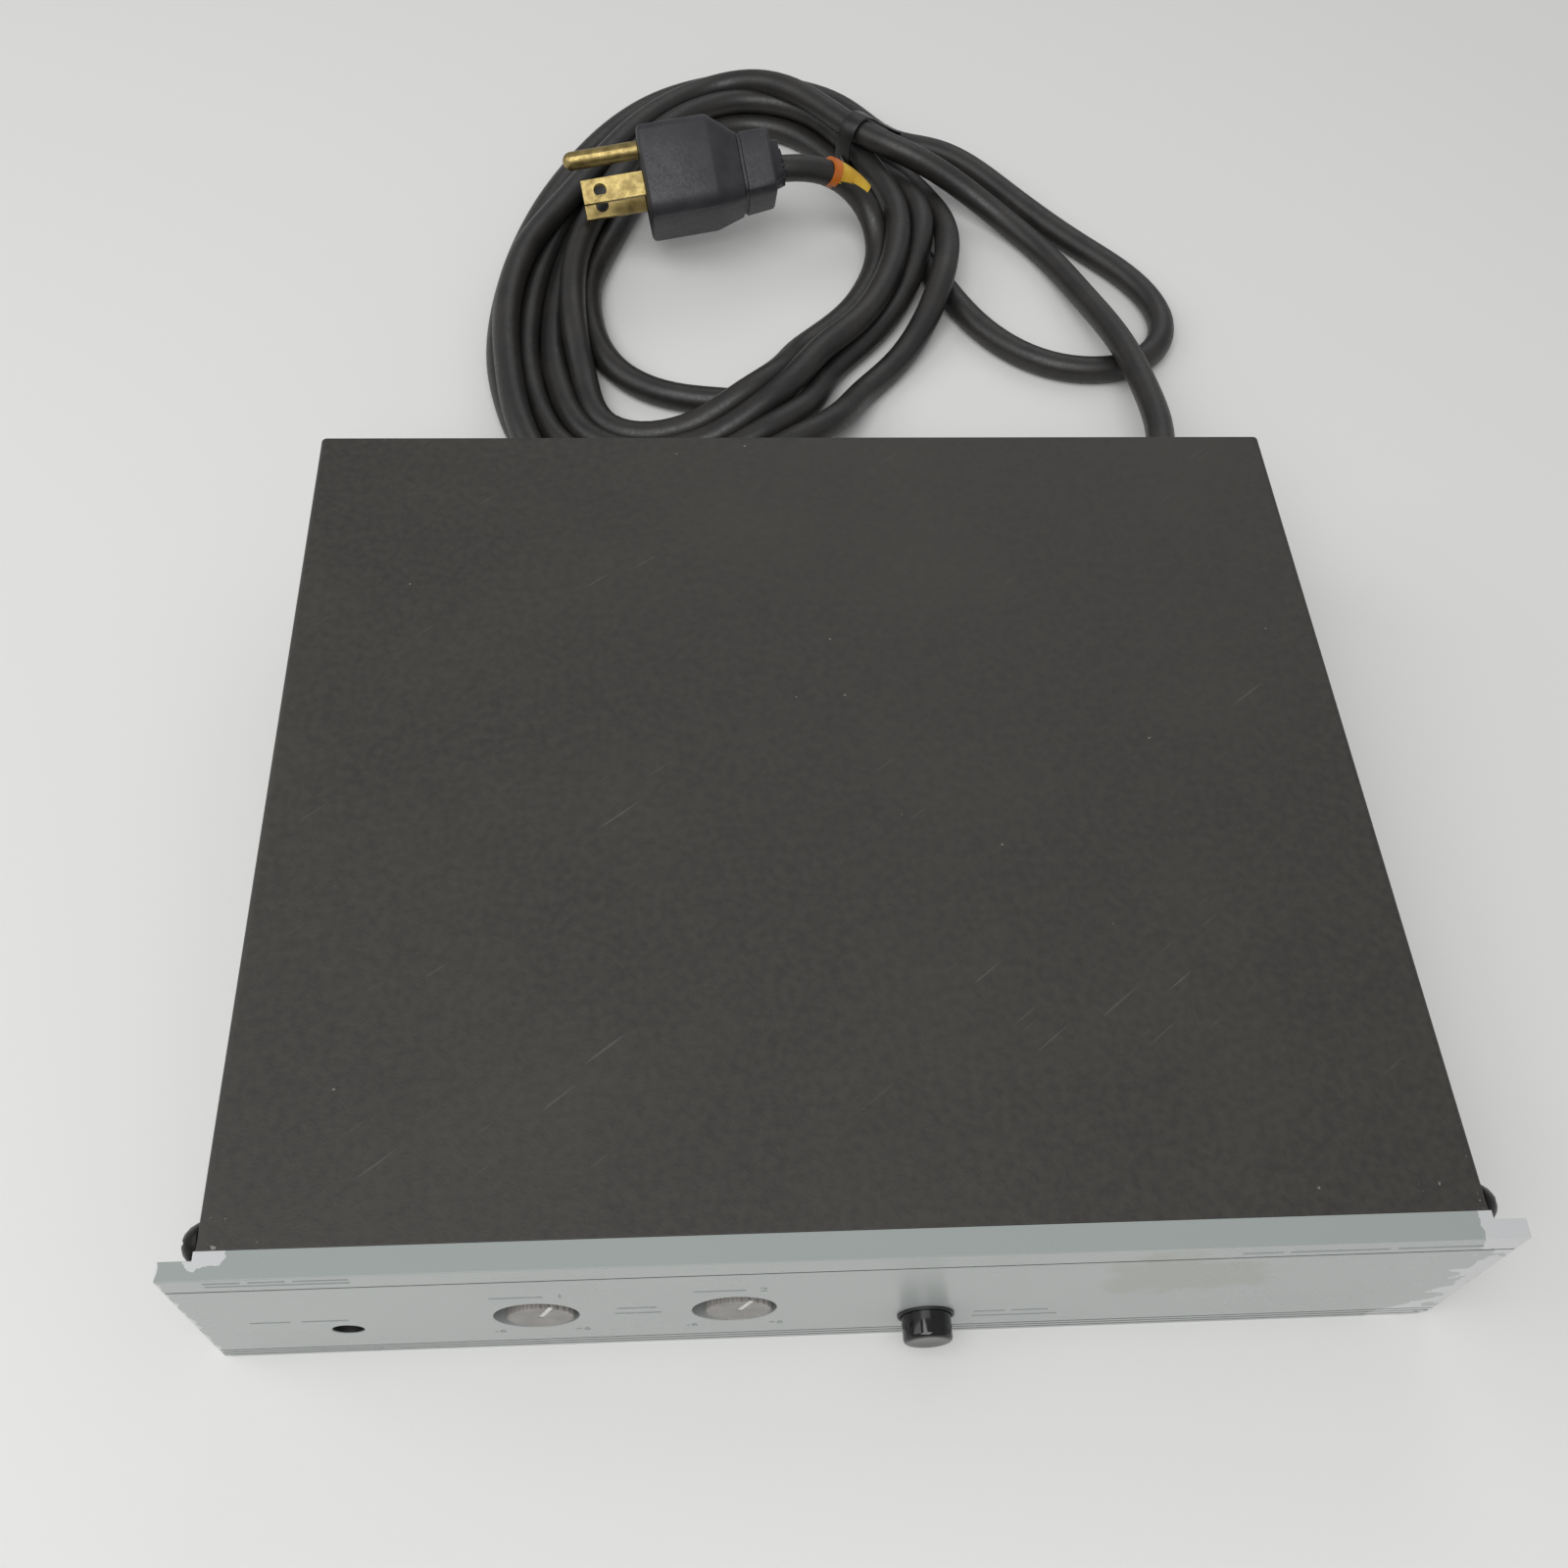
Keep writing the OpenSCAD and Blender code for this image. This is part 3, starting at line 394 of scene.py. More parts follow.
def powder_coat():
    """Fine-textured powder coat on folded steel: warm dark grey, mottled, with pale rub marks."""
    material, tree, shader, where = new_material("textured_powder_coat_on_steel", IOR=1.45)
    mottle = add_node(tree, "ShaderNodeTexNoise", {"Vector": where, "Scale": per(1.6), "Detail": 5.0})
    broad = add_node(tree, "ShaderNodeTexNoise", {"Vector": where, "Scale": per(38), "Detail": 3.0})
    grain = add_node(tree, "ShaderNodeTexNoise", {"Vector": where, "Scale": per(0.55), "Detail": 2.0})
    tone = add_node(tree, "ShaderNodeMapRange", {
        "Value": mottle.outputs["Fac"], "From Min": 0.32, "From Max": 0.68})
    base = add_node(tree, "ShaderNodeMix", {
        0: tone.outputs["Result"], 6: linear("#2e2c29"), 7: linear("#383632")}, data_type="RGBA")
    worn = add_node(tree, "ShaderNodeMapRange", {
        "Value": broad.outputs["Fac"], "From Min": 0.45, "From Max": 0.75, "To Max": 0.3})
    faded = add_node(tree, "ShaderNodeMix", {
        0: worn.outputs["Result"], 6: base.outputs[2], 7: linear("#413f3a")}, data_type="RGBA")
    # Specks of dust and of bare primer, a few tenths of a millimetre across.
    specks = add_node(tree, "ShaderNodeTexVoronoi", {"Vector": where, "Scale": per(11.0)})
    dot = add_node(tree, "ShaderNodeMapRange", {
        "Value": specks.outputs["Distance"], "From Min": 0.014, "From Max": 0.026,
        "To Min": 0.6, "To Max": 0.0})
    specked = add_node(tree, "ShaderNodeMix", {
        0: dot.outputs["Result"], 6: faded.outputs[2], 7: linear("#8a8780")}, data_type="RGBA")
    # Short rub marks in one direction: a stretched noise that only shows where a broad one is high.
    turned_round = add_node(tree, "ShaderNodeMapping", {
        "Vector": where, "Rotation": (0, 0, math.radians(-38))})
    stretched = add_node(tree, "ShaderNodeMapping", {
        "Vector": turned_round.outputs["Vector"], "Scale": (70, 1500, 70)})
    lines = add_node(tree, "ShaderNodeTexNoise", {
        "Vector": stretched.outputs["Vector"], "Scale": 1.0, "Detail": 0.0})
    scratch = add_node(tree, "ShaderNodeMapRange", {
        "Value": lines.outputs["Fac"], "From Min": 0.79, "From Max": 0.83, "To Max": 0.2})
    rubbed = add_node(tree, "ShaderNodeMapRange", {
        "Value": broad.outputs["Fac"], "From Min": 0.5, "From Max": 0.62})
    mark = add_node(tree, "ShaderNodeMath", {0: scratch.outputs["Result"], 1: rubbed.outputs["Result"]},
                    operation="MULTIPLY")
    marked = add_node(tree, "ShaderNodeMix", {
        0: mark.outputs[0], 6: specked.outputs[2], 7: linear("#7d7b76")}, data_type="RGBA")
    # Knocked paint at the front corners, where the screws are.
    axes = add_node(tree, "ShaderNodeSeparateXYZ", {"Vector": where})
    across = add_node(tree, "ShaderNodeMath", {0: axes.outputs["X"]}, operation="ABSOLUTE")
    from_side = add_node(tree, "ShaderNodeMath", {0: CASE_HALF * MM, 1: across.outputs[0]},
                         operation="SUBTRACT")
    from_ledge = add_node(tree, "ShaderNodeMath", {0: axes.outputs["Y"], 1: LEDGE_Y * MM},
                          operation="SUBTRACT")
    corner = add_node(tree, "ShaderNodeMath", {0: from_side.outputs[0], 1: from_ledge.outputs[0]},
                      operation="ADD")
    chips = add_node(tree, "ShaderNodeTexNoise", {"Vector": where, "Scale": per(1.9), "Detail": 5.0})
    chip_limit = add_node(tree, "ShaderNodeMath", {0: corner.outputs[0], 1: 7.0, 2: 0.62},
                          operation="MULTIPLY_ADD")
    chip = add_node(tree, "ShaderNodeMath", {0: chips.outputs["Fac"], 1: chip_limit.outputs[0]},
                    operation="GREATER_THAN")
    chip_part = add_node(tree, "ShaderNodeMath", {0: chip.outputs[0], 1: 0.7}, operation="MULTIPLY")
    final = add_node(tree, "ShaderNodeMix", {
        0: chip_part.outputs[0], 6: marked.outputs[2], 7: linear("#8f8b84")}, data_type="RGBA")
    gloss = add_node(tree, "ShaderNodeMapRange", {
        "Value": mottle.outputs["Fac"], "From Min": 0.3, "From Max": 0.7, "To Min": 0.5, "To Max": 0.62})
    relief = add_node(tree, "ShaderNodeBump", {
        "Height": grain.outputs["Fac"], "Strength": 1.0, "Distance": 0.06 * MM})
    tree.links.new(final.outputs[2], shader.inputs["Base Color"])
    tree.links.new(gloss.outputs["Result"], shader.inputs["Roughness"])
    tree.links.new(relief.outputs["Normal"], shader.inputs["Normal"])
    return material


# Bare spots on the front bar as (x, y, z, radius), in millimetres.
BARE_SPOTS = (
    (-100.9, LEDGE_Y, PANEL_TOP, 5.0), (105.0, FRONT_Y + 1.6, PANEL_TOP, 6.6),
    (99.4, FRONT_Y, 2.2, 5.0), (102.2, FRONT_Y, 5.0, 3.0),
)
# Scuffed metal scatters more light than a clean one, so it is only partly metallic.
BARE_METALLIC = 0.4
# Where the stain is, from the middle of the bar's face, and its size.
STAIN_AT = (68, -81, 41)
STAIN_R = (9, 11.2)

def panel_enamel():
    """Silver-grey stoved enamel on aluminium: half gloss, with bare metal where the ends are knocked."""
    material, tree, shader, where = new_material("stoved_enamel_on_aluminium", IOR=1.5)
    axes = add_node(tree, "ShaderNodeSeparateXYZ", {"Vector": where})
    patches = add_node(tree, "ShaderNodeTexNoise", {"Vector": where, "Scale": per(25), "Detail": 4.0})
    base = add_node(tree, "ShaderNodeMix", {
        0: patches.outputs["Fac"], 6: linear("#a5a9a7"), 7: linear("#b1b5b2")}, data_type="RGBA")
    from_middle = add_node(tree, "ShaderNodeMath", {0: axes.outputs["X"]}, operation="ABSOLUTE")
    end_gap = add_node(tree, "ShaderNodeMath", {0: PANEL_HALF * MM, 1: from_middle.outputs[0]},
                       operation="SUBTRACT")
    flakes = add_node(tree, "ShaderNodeTexNoise", {"Vector": where, "Scale": per(3.2), "Detail": 6.0})
    # The right end has been knocked harder: its chips reach nearly seven times as far in.
    on_right = add_node(tree, "ShaderNodeMath", {0: axes.outputs["X"], 1: 0.0}, operation="GREATER_THAN")
    fade = add_node(tree, "ShaderNodeMath", {0: on_right.outputs[0], 1: -255.0, 2: 300.0},
                    operation="MULTIPLY_ADD")
    away = add_node(tree, "ShaderNodeMath", {0: end_gap.outputs[0], 1: fade.outputs[0]},
                    operation="MULTIPLY")
    capped = add_node(tree, "ShaderNodeMath", {0: away.outputs[0], 1: 0.5}, operation="MINIMUM")
    limit = add_node(tree, "ShaderNodeMath", {0: capped.outputs[0], 1: 0.36}, operation="ADD")
    # Knocks that have gone through to bare metal: each lowers the limit round its middle.
    for x, y, z, radius in BARE_SPOTS:
        gap = add_node(tree, "ShaderNodeVectorMath", {0: where, 1: (x * MM, y * MM, z * MM)},
                       operation="DISTANCE")
        knock = add_node(tree, "ShaderNodeMapRange", {
            "Value": gap.outputs["Value"], "From Min": 0.0, "From Max": radius * MM,
            "To Min": 0.9, "To Max": 0.0})
        limit = add_node(tree, "ShaderNodeMath", {0: limit.outputs[0], 1: knock.outputs["Result"]},
                         operation="SUBTRACT")
    chipped = add_node(tree, "ShaderNodeMath", {0: flakes.outputs["Fac"], 1: limit.outputs[0]},
                       operation="GREATER_THAN")
    metal = add_node(tree, "ShaderNodeMath", {0: chipped.outputs[0], 1: BARE_METALLIC},
                     operation="MULTIPLY")
    # A dull yellowish stain to the right of the button, with a ragged edge.
    ragged = add_node(tree, "ShaderNodeTexNoise", {"Vector": where, "Scale": per(12), "Detail": 4.0})
    wander = add_node(tree, "ShaderNodeVectorMath", {0: ragged.outputs["Color"], "Scale": 0.022},
                      operation="SCALE")
    moved = add_node(tree, "ShaderNodeVectorMath", {0: where, 1: wander.outputs["Vector"]},
                     operation="ADD")
    centred = add_node(tree, "ShaderNodeMapping", {
        "Vector": moved.outputs["Vector"], "Location": [-v * MM for v in STAIN_AT]})
    flat = add_node(tree, "ShaderNodeMapping", {
        "Vector": centred.outputs["Vector"], "Scale": (0.72, 1.0, 1.0)})
    reach = add_node(tree, "ShaderNodeVectorMath", {0: flat.outputs["Vector"]}, operation="LENGTH")
    stain = add_node(tree, "ShaderNodeMapRange", {
        "Value": reach.outputs["Value"], "From Min": STAIN_R[0] * MM, "From Max": STAIN_R[1] * MM,
        "To Min": 0.5, "To Max": 0.0})
    stained = add_node(tree, "ShaderNodeMix", {
        0: stain.outputs["Result"], 6: base.outputs[2], 7: linear("#989a8f")}, data_type="RGBA")
    # Painted shade: the top of the bar is painted darker than its face, for the way light falls on it.
    painted_shade_top_mask = add_node(tree, "ShaderNodeMath", {0: axes.outputs["Z"], 1: (PANEL_TOP - 0.1) * MM},
                      operation="GREATER_THAN")
    top_painted_shade = add_node(tree, "ShaderNodeMix", {
        0: painted_shade_top_mask.outputs[0], 6: stained.outputs[2], 7: linear("#939996")}, data_type="RGBA")
    colour = add_node(tree, "ShaderNodeMix", {
        0: chipped.outputs[0], 6: top_painted_shade.outputs[2], 7: linear("#d2d3d3")}, data_type="RGBA")
    fine = add_node(tree, "ShaderNodeTexNoise", {"Vector": where, "Scale": per(1.8), "Detail": 2.0})
    gloss = add_node(tree, "ShaderNodeMapRange", {
        "Value": patches.outputs["Fac"], "From Min": 0.1, "From Max": 0.9, "To Min": 0.25, "To Max": 0.31})
    height = add_node(tree, "ShaderNodeMath", {0: chipped.outputs[0], 1: -0.6, 2: fine.outputs["Fac"]},
                      operation="MULTIPLY_ADD")
    relief = add_node(tree, "ShaderNodeBump", {
        "Height": height.outputs[0], "Strength": 0.3, "Distance": 0.006 * MM})
    tree.links.new(colour.outputs[2], shader.inputs["Base Color"])
    tree.links.new(metal.outputs[0], shader.inputs["Metallic"])
    tree.links.new(gloss.outputs["Result"], shader.inputs["Roughness"])
    tree.links.new(relief.outputs["Normal"], shader.inputs["Normal"])
    return material


cover_paint = powder_coat()
panel_paint = panel_enamel()
# Moulded ABS rubbed matt by fingers: grey with a faint warm cast.
knob_plastic = finish_of("moulded_grey_abs", "#938f8c", "#827e7b", patch=4, grain=0.4, bump=0.01,
                         rough=(0.34, 0.48))
# Polished black ABS: a mirror-like face with the finest orange peel.
button_plastic = finish_of("polished_black_abs", "#121112", "#0c0c0d", patch=5, grain=1.6, bump=0.004,
                           rough=(0.06, 0.12), IOR=1.53)
# Moulded nylon: black with a soft sheen.
ring_plastic = finish_of("moulded_black_nylon", "#232324", "#1b1b1c", patch=3, grain=0.5, bump=0.012,
                         rough=(0.4, 0.55))
# Screen-printed ink: a thin dull grey film.
legend_ink = finish_of("screen_printed_grey_ink", "#8b9190", "#828887", patch=2, grain=0.3, bump=0.003,
                       rough=(0.4, 0.5))
# Brushed-in white filling paint.
white_paint = finish_of("white_filling_paint", "#e4e3de", "#cfcec8", patch=1, grain=0.3, bump=0.01,
                        rough=(0.45, 0.6))
# Bright zinc plating on pressed steel: pale and half shiny.
zinc = finish_of("bright_zinc_plated_steel", "#c4c6c3", "#aeb0ad", patch=5, grain=0.7, bump=0.006,
                 rough=(0.26, 0.4), Metallic=1.0)
# Turned steel left bare: shiny, with faint tool marks.
bare_steel = finish_of("turned_bare_steel", "#b7b8b6", "#a2a3a1", patch=3, grain=0.4, bump=0.006,
                       rough=(0.2, 0.34), Metallic=1.0)
# Oxidised steel: black with a slight metal gleam.
black_steel = finish_of("black_oxide_steel", "#1b1a19", "#131211", patch=2, grain=0.4, bump=0.008,
                        rough=(0.28, 0.42), Metallic=0.6)
# Zinc die casting with a black satin plating.
shell_metal = finish_of("black_plated_zinc_casting", "#2e2f31", "#232426", patch=4, grain=0.5, bump=0.012,
                        rough=(0.3, 0.42), Metallic=0.7)
# Woven glass board under green solder mask: glossy green with a faint weave.
fibreglass_board = finish_of("solder_masked_fibreglass_board", "#2f5b3b", "#24492f", patch=7, grain=0.9,
                             bump=0.01, rough=(0.3, 0.4))
# Moulded polyamide: black and nearly dull.
black_moulding = finish_of("moulded_black_polyamide", "#28292b", "#1f2022", patch=5, grain=0.5, bump=0.015,
                           rough=(0.38, 0.5))
# Moulded nylon in its own colour: a warm white.
white_moulding = finish_of("moulded_white_nylon", "#dedcd5", "#cdcbc3", patch=5, grain=0.6, bump=0.012,
                           rough=(0.4, 0.5))
# Stacked silicon steel dipped in varnish: brownish grey with an uneven gleam.
core_steel = finish_of("varnished_silicon_steel", "#6d6861", "#57534d", patch=4, grain=0.5, bump=0.03,
                       rough=(0.4, 0.55), Metallic=0.7)
# Polyester tape wound round the coil: yellow and glossy.
winding_tape = finish_of("polyester_winding_tape", "#c8a43c", "#b48f2c", patch=5, grain=0.9, bump=0.01,
                         rough=(0.25, 0.4))
# PVC sleeve shrunk on hot: dark blue and glossy.
blue_sleeve = finish_of("shrunk_blue_pvc_sleeve", "#2a4675", "#1f3558", patch=6, grain=0.8, bump=0.008,
                        rough=(0.25, 0.35))
# Anodised extrusion: dark grey metal with a satin face.
anodised = finish_of("black_anodised_aluminium", "#34363a", "#27292c", patch=4, grain=0.3, bump=0.006,
                     rough=(0.36, 0.48), Metallic=0.8)
# Drawn glass: smooth and very glossy.
fuse_glass = finish_of("drawn_glass_tube", "#dfe4e5", "#ccd3d4", patch=6, grain=3, bump=0.002,
                       rough=(0.04, 0.08), IOR=1.5)
# Dipped lacquer: beige with soft dimples.
resistor_coat = finish_of("dipped_resistor_lacquer", "#c9b388", "#b39c70", patch=2, grain=0.5, bump=0.02,
                          rough=(0.3, 0.45))
# Moulded phenolic: brick red, slightly glossy.
phono_red = finish_of("moulded_red_phenolic", "#a8302b", "#8e2521", patch=3, grain=0.5, bump=0.01,
                      rough=(0.35, 0.5))
# Rolled brass with a dull skin and bright rubbed patches.
brass = finish_of("rolled_brass", "#b3a06a", "#85744a", patch=2.6, grain=0.5, bump=0.012,
                  rough=(0.34, 0.5), Metallic=1.0)
# Tin plating on turned brass: pale, with the yellow showing through.
tinned_brass = finish_of("tin_plated_brass_barrel", "#c8c2a6", "#aea88c", patch=3, grain=0.5, bump=0.006,
                         rough=(0.22, 0.34), Metallic=1.0)
# Injection-moulded soft PVC: dark grey and dull.
plug_pvc = finish_of("moulded_soft_pvc_plug", "#2d2d31", "#212125", patch=5, grain=0.8, bump=0.03,
                     rough=(0.42, 0.58))
# Vinyl adhesive tape in yellow, and the orange it has gone where it overlaps.
label_vinyl = finish_of("yellow_vinyl_tape", "#dcb63a", "#c99a26", patch=5, grain=0.9, bump=0.015,
                        rough=(0.3, 0.42))
orange_vinyl = finish_of("orange_vinyl_tape", "#c96f24", "#b45c1c", patch=3, grain=0.9, bump=0.015,
                         rough=(0.3, 0.42))
# Vinyl strap: black, with the sheen of a stretched film.
tie_vinyl = finish_of("black_vinyl_strap", "#1d1c1b", "#121211", patch=3, grain=0.6, bump=0.02,
                      rough=(0.3, 0.45))
# Moulded acrylic, unlit: so deep a red that it is nearly black.
lens = finish_of("moulded_red_acrylic_lens", "#2c1514", "#1d0e0d", patch=4, grain=2, bump=0.003,
                 rough=(0.12, 0.2), IOR=1.49, Transmission_Weight=0.2)


# ---- front panel and controls ----

softened("panel_bar", "front_panel", panel_paint, "case", edge=0.16)
for number, (x, z) in enumerate(KNOBS, 1):
    body = f"channel_{number}_knob"
    softened(f"trim_knob_cap_{number}", f"trim_knob_{number}", knob_plastic, body, edge=0.1)
    line = block(POINTER, (0, KNOB_FACE_Y + 0.17, POINTER_MIDDLE), 0.05)
    spun(line, POINTER_ANGLE, "Y")
    bmesh.ops.translate(line, verts=line.verts, vec=(x, 0, z))
    piece(f"pointer_fill_{number}", line, white_paint, body)


def button_cap():
    """A cap with a slightly dished face and a hollow back."""
    face = FRONT_Y - BUTTON_PROUD
    back = face + 10.5
    bore = 2.6
    return turned([(0, face + 0.12), (1.6, face + 0.1), (3.0, face + 0.02), (3.6, face), (3.95, face + 0.08),
                   (4.2, face + 0.3), (BUTTON_R, face + 0.7), (BUTTON_R, back), (bore, back),
                   (bore, face + 9), (0, face + 9)], (BUTTON[0], 0, BUTTON[1]), steps=96)


piece("button_face", button_cap(), button_plastic, "push_button", ("button_cap",), angle=50)
softened("button_ring", "button_bezel", ring_plastic, "case", edge=0.12)
# Painted shade: a thin black sleeve lines the hole that the lamp shines through, darkening the shade inside
# it.
lamp_shade_liner = turned([(LAMP_HOLE_R, FRONT_Y + 0.25), (LAMP_HOLE_R, FRONT_Y + 3.1), (SHADE_LINER_R, FRONT_Y + 3.1),
                (SHADE_LINER_R, FRONT_Y + 0.25), (LAMP_HOLE_R, FRONT_Y + 0.25)], (LAMP[0], 0, LAMP[1]))
piece("lamp_hole_shade_liner", lamp_shade_liner, ring_plastic, "case")


# ---- legends ----

# Numerals as (text, x, z, height), and plain rules as (x0, x1, z) where the real one has words.
LEGENDS = [
    ("1", -47.6, 29.9, 2.3), ("2", -14.5, 29.9, 2.3),
    ("-6", -59.0, 10.3, 1.9), ("+6", -45.0, 10.1, 1.9), ("-6", -26.2, 10.2, 1.9), ("+6", -11.8, 10.0, 1.9),
]
RULES = [
    (-59.0, -50.4, 29.9), (-26.0, -17.4, 29.9), (-99.0, -92.4, 20.3), (-90.6, -83.0, 20.3),
    (-101.0, -95.4, 42.9), (-94.2, -88.6, 42.9), (-87.4, -79.0, 42.9), (-101.0, -79.0, 41.3),
    (-38.6, -32.2, 21.8), (-39.2, -31.4, 18.8), (22.6, 28.0, 12.4), (29.2, 35.6, 12.4),
    (22.6, 37.6, 9.6), (62.0, 68.4, 40.9), (69.8, 86.0, 40.9), (87.4, 101.4, 40.9),
]
INK_Y = FRONT_Y - 0.01
RULE_H = 0.55
# A numeral is this much lower than its font's size.
FONT_PER_HEIGHT = 1.35


def printed(text, x, z, height):
    """A numeral printed on the face of the panel, centred on a point."""
    font = bpy.data.curves.new("numeral", "FONT")
    font.body = text
    font.size = height * FONT_PER_HEIGHT
    font.align_x = "CENTER"
    font.align_y = "CENTER"
    font.extrude = 0.02
    bm = curve_mesh(font)
    spun(bm, 90, "X")
    bmesh.ops.translate(bm, verts=bm.verts, vec=(x, INK_Y, z))
    return bm


marks = [printed(*row) for row in LEGENDS]
for x0, x1, z in RULES:
    marks.append(block((x1 - x0, 0.05, RULE_H), ((x0 + x1) / 2, INK_Y, z)))
piece("panel_legends", joined(marks), legend_ink, "case")


# ---- case ----

softened("cover_shell", "top_cover", cover_paint, "case", edge=0.18)
softened("rear_plate", "rear_panel", cover_paint, "case", edge=0.12)


def cross_recess():
    """The plus-shaped tool that cuts the recess of a screw, as one solid. It points along X."""
    cross = block((2.4, 0.95, 0.95), (2.9, 0, 0))
    for wall in [f for f in cross.faces if abs(f.normal.x) < 0.5]:
        way = wall.normal * 1.6
        arm = bmesh.ops.extrude_discrete_faces(cross, faces=[wall])["faces"][0]
        bmesh.ops.translate(cross, verts=arm.verts, vec=way)
    return cross


def recessed(screw, cross):
    """Cuts the recess into the head and leaves a plain mesh."""
    cutter = link_object("cross_cutter", bpy.data.meshes.new("cross_cutter"))
    bmesh.ops.scale(cross, vec=(MM, MM, MM), verts=cross.verts)
    bmesh.ops.recalc_face_normals(cross, faces=cross.faces)
    cross.to_mesh(cutter.data)
    cross.free()
    cut = screw.modifiers.new("cross", "BOOLEAN")
    cut.operation = "DIFFERENCE"
    cut.object = cutter
    bpy.context.view_layer.update()
    graph = bpy.context.evaluated_depsgraph_get()
    cut_mesh = bpy.data.meshes.new_from_object(screw.evaluated_get(graph))
    screw.modifiers.clear()
    screw.data = cut_mesh
    shade(cut_mesh, 35)
    bpy.data.objects.remove(cutter)


# The dome of a screw's head and its shank, as (radius, distance out from the case).
DOME = [(0, 3.1), (0.9, 3.02), (1.9, 2.6), (2.8, 1.75), (3.4, 0.75), (3.65, 0.25), (3.7, 0.02), (1.7, 0.0),
        (1.7, -6), (0, -6)]
for side, name in ((-1, "left"), (1, "right")):
    head = turned(DOME, (0, 0, 0), steps=48, axis="X")
    cross = cross_recess()
    for bm in (head, cross):
        if side < 0:
            spun(bm, 180, "Z")
        bmesh.ops.translate(bm, verts=bm.verts, vec=(side * CASE_HALF, SCREW_Y, SCREW_Z))
    screw = piece(f"domed_screw_{name}", head, black_steel, "case", (f"side_screw_{name}",))
    recessed(screw, cross)


# ---- rear connectors ----

for number in (1, 2):
    softened(f"input_shell_{number}", f"input_socket_{number}", shell_metal, "case",
             edge=0.25)
    softened(f"input_face_{number}", f"input_insert_{number}", black_moulding, "case",
             edge=0.12)
    softened(f"latch_tab_{number}", f"input_latch_{number}", zinc, f"latch_{number}",
             edge=0.2)
    softened(f"output_shell_{number}", f"output_socket_{number}", shell_metal, "case",
             edge=0.25)


def strain_relief():
    """Moulded relief with a shoulder against the panel and a ribbed taper, turned round the cord."""
    profile = [(3.6, -4.2), (7.5, -4.2), (7.5, -1.3), (6, -1.2), (6, 0), (7.2, 0.02), (7.5, 0.4), (7.5, 3.0),
               (7.1, 3.5), (5.6, 3.6)]
    for k in range(BOOT_RIBS):
        y = 5.2 + k * RIB_PITCH
        r = 5.35 - 0.07 * y
        profile += [(r + 0.25, y), (r - 0.45, y + 0.3), (r - 0.5, y + 1.1), (r + 0.12, y + 1.5)]
    profile += [(4.15, BOOT_LEN - 0.5), (3.9, BOOT_LEN), (3.45, BOOT_LEN), (3.45, BOOT_LEN - 4), (3.6, -4.2)]
    return turned(profile, (CORD_EXIT[0], REAR_Y, CORD_EXIT[2]), steps=48)


piece("strain_relief", strain_relief(), plug_pvc, "case", ("cord_grip",))


# ---- plug ----

# The plug lies along X while it is made: its body's size and middle, and how much its low and
# high corners are cut.
PLUG_BODY = (16.6, 24.5, 26)
PLUG_MIDDLE = (9.7, 1.25, 0)
LOW_CORNER = 4.5
HIGH_CORNER = 2.2
# Steps forward from the front face and back from the back one, each as (length, scale across,
# scale up, shift across): the taper, the groove, the collar and the neck.
FRONT_STEPS = [(-0.9, 0.985, 0.985, 0), (-0.5, 0.94, 0.94, 0)]
BACK_STEPS = [
    (0.8, 0.985, 0.985, -0.1), (6.4, 0.74, 0.80, -2.0), (0.5, 0.985, 0.985, 0), (0.1, 0.94, 0.94, 0),
    (0.9, 1.0, 1.0, 0), (0.1, 1.05, 1.05, 0), (7.2, 0.96, 0.97, 0.3), (0.5, 0.94, 0.94, 0),
    (0.05, 0.72, 0.66, 0.2), (2.4, 0.86, 0.86, 0.6),
]


def pulled(bm, face, length, scale_y, scale_z, shift_y):
    """Extrudes an end face along X, scales it about its middle and gives back the new end face."""
    made = bmesh.ops.extrude_discrete_faces(bm, faces=[face])["faces"][0]
    middle = made.calc_center_median()
    bmesh.ops.translate(bm, verts=made.verts, vec=(length, shift_y, 0))
    centre = middle + Vector((length, shift_y, 0))
    bmesh.ops.scale(bm, vec=(1, scale_y, scale_z), verts=made.verts, space=Matrix.Translation(-centre))
    return made


def plug_shell():
    """Moulded plug: a block with two corners cut, a tapering back, a ribbed collar and a short neck."""
    bm = bmesh.new()
    bmesh.ops.create_cube(bm, size=1.0)
    bmesh.ops.scale(bm, vec=PLUG_BODY, verts=bm.verts)
    bmesh.ops.translate(bm, verts=bm.verts, vec=PLUG_MIDDLE)
    low = [e for e in bm.edges if all(v.co.y < -10 for v in e.verts)
           and abs(e.verts[0].co.z - e.verts[1].co.z) < 0.1]
    bmesh.ops.bevel(bm, geom=low, offset=LOW_CORNER, segments=3, profile=0.5, affect="EDGES", material=-1)
    high = [e for e in bm.edges if all(v.co.y > 13 for v in e.verts)
            and abs(e.verts[0].co.z - e.verts[1].co.z) < 0.1]
    bmesh.ops.bevel(bm, geom=high, offset=HIGH_CORNER, segments=4, profile=0.5, affect="EDGES", material=-1)
    front = min(bm.faces, key=lambda f: f.calc_center_median().x)
    for step in FRONT_STEPS:
        front = pulled(bm, front, *step)
    back = max(bm.faces, key=lambda f: f.calc_center_median().x)
    for step in BACK_STEPS:
        back = pulled(bm, back, *step)
    bmesh.ops.remove_doubles(bm, verts=bm.verts, dist=0.001)
    return bm


shell = plug_shell()
bmesh.ops.transform(shell, matrix=plug_place, verts=shell.verts)
plug = piece("plug_shell", shell, plug_pvc, "case", ("plug_body",), angle=40)
rounding = plug.modifiers.new("edges", "BEVEL")
rounding.width = 0.35 * MM
rounding.segments = 2
rounding.limit_method = "ANGLE"
rounding.angle_limit = math.radians(30)


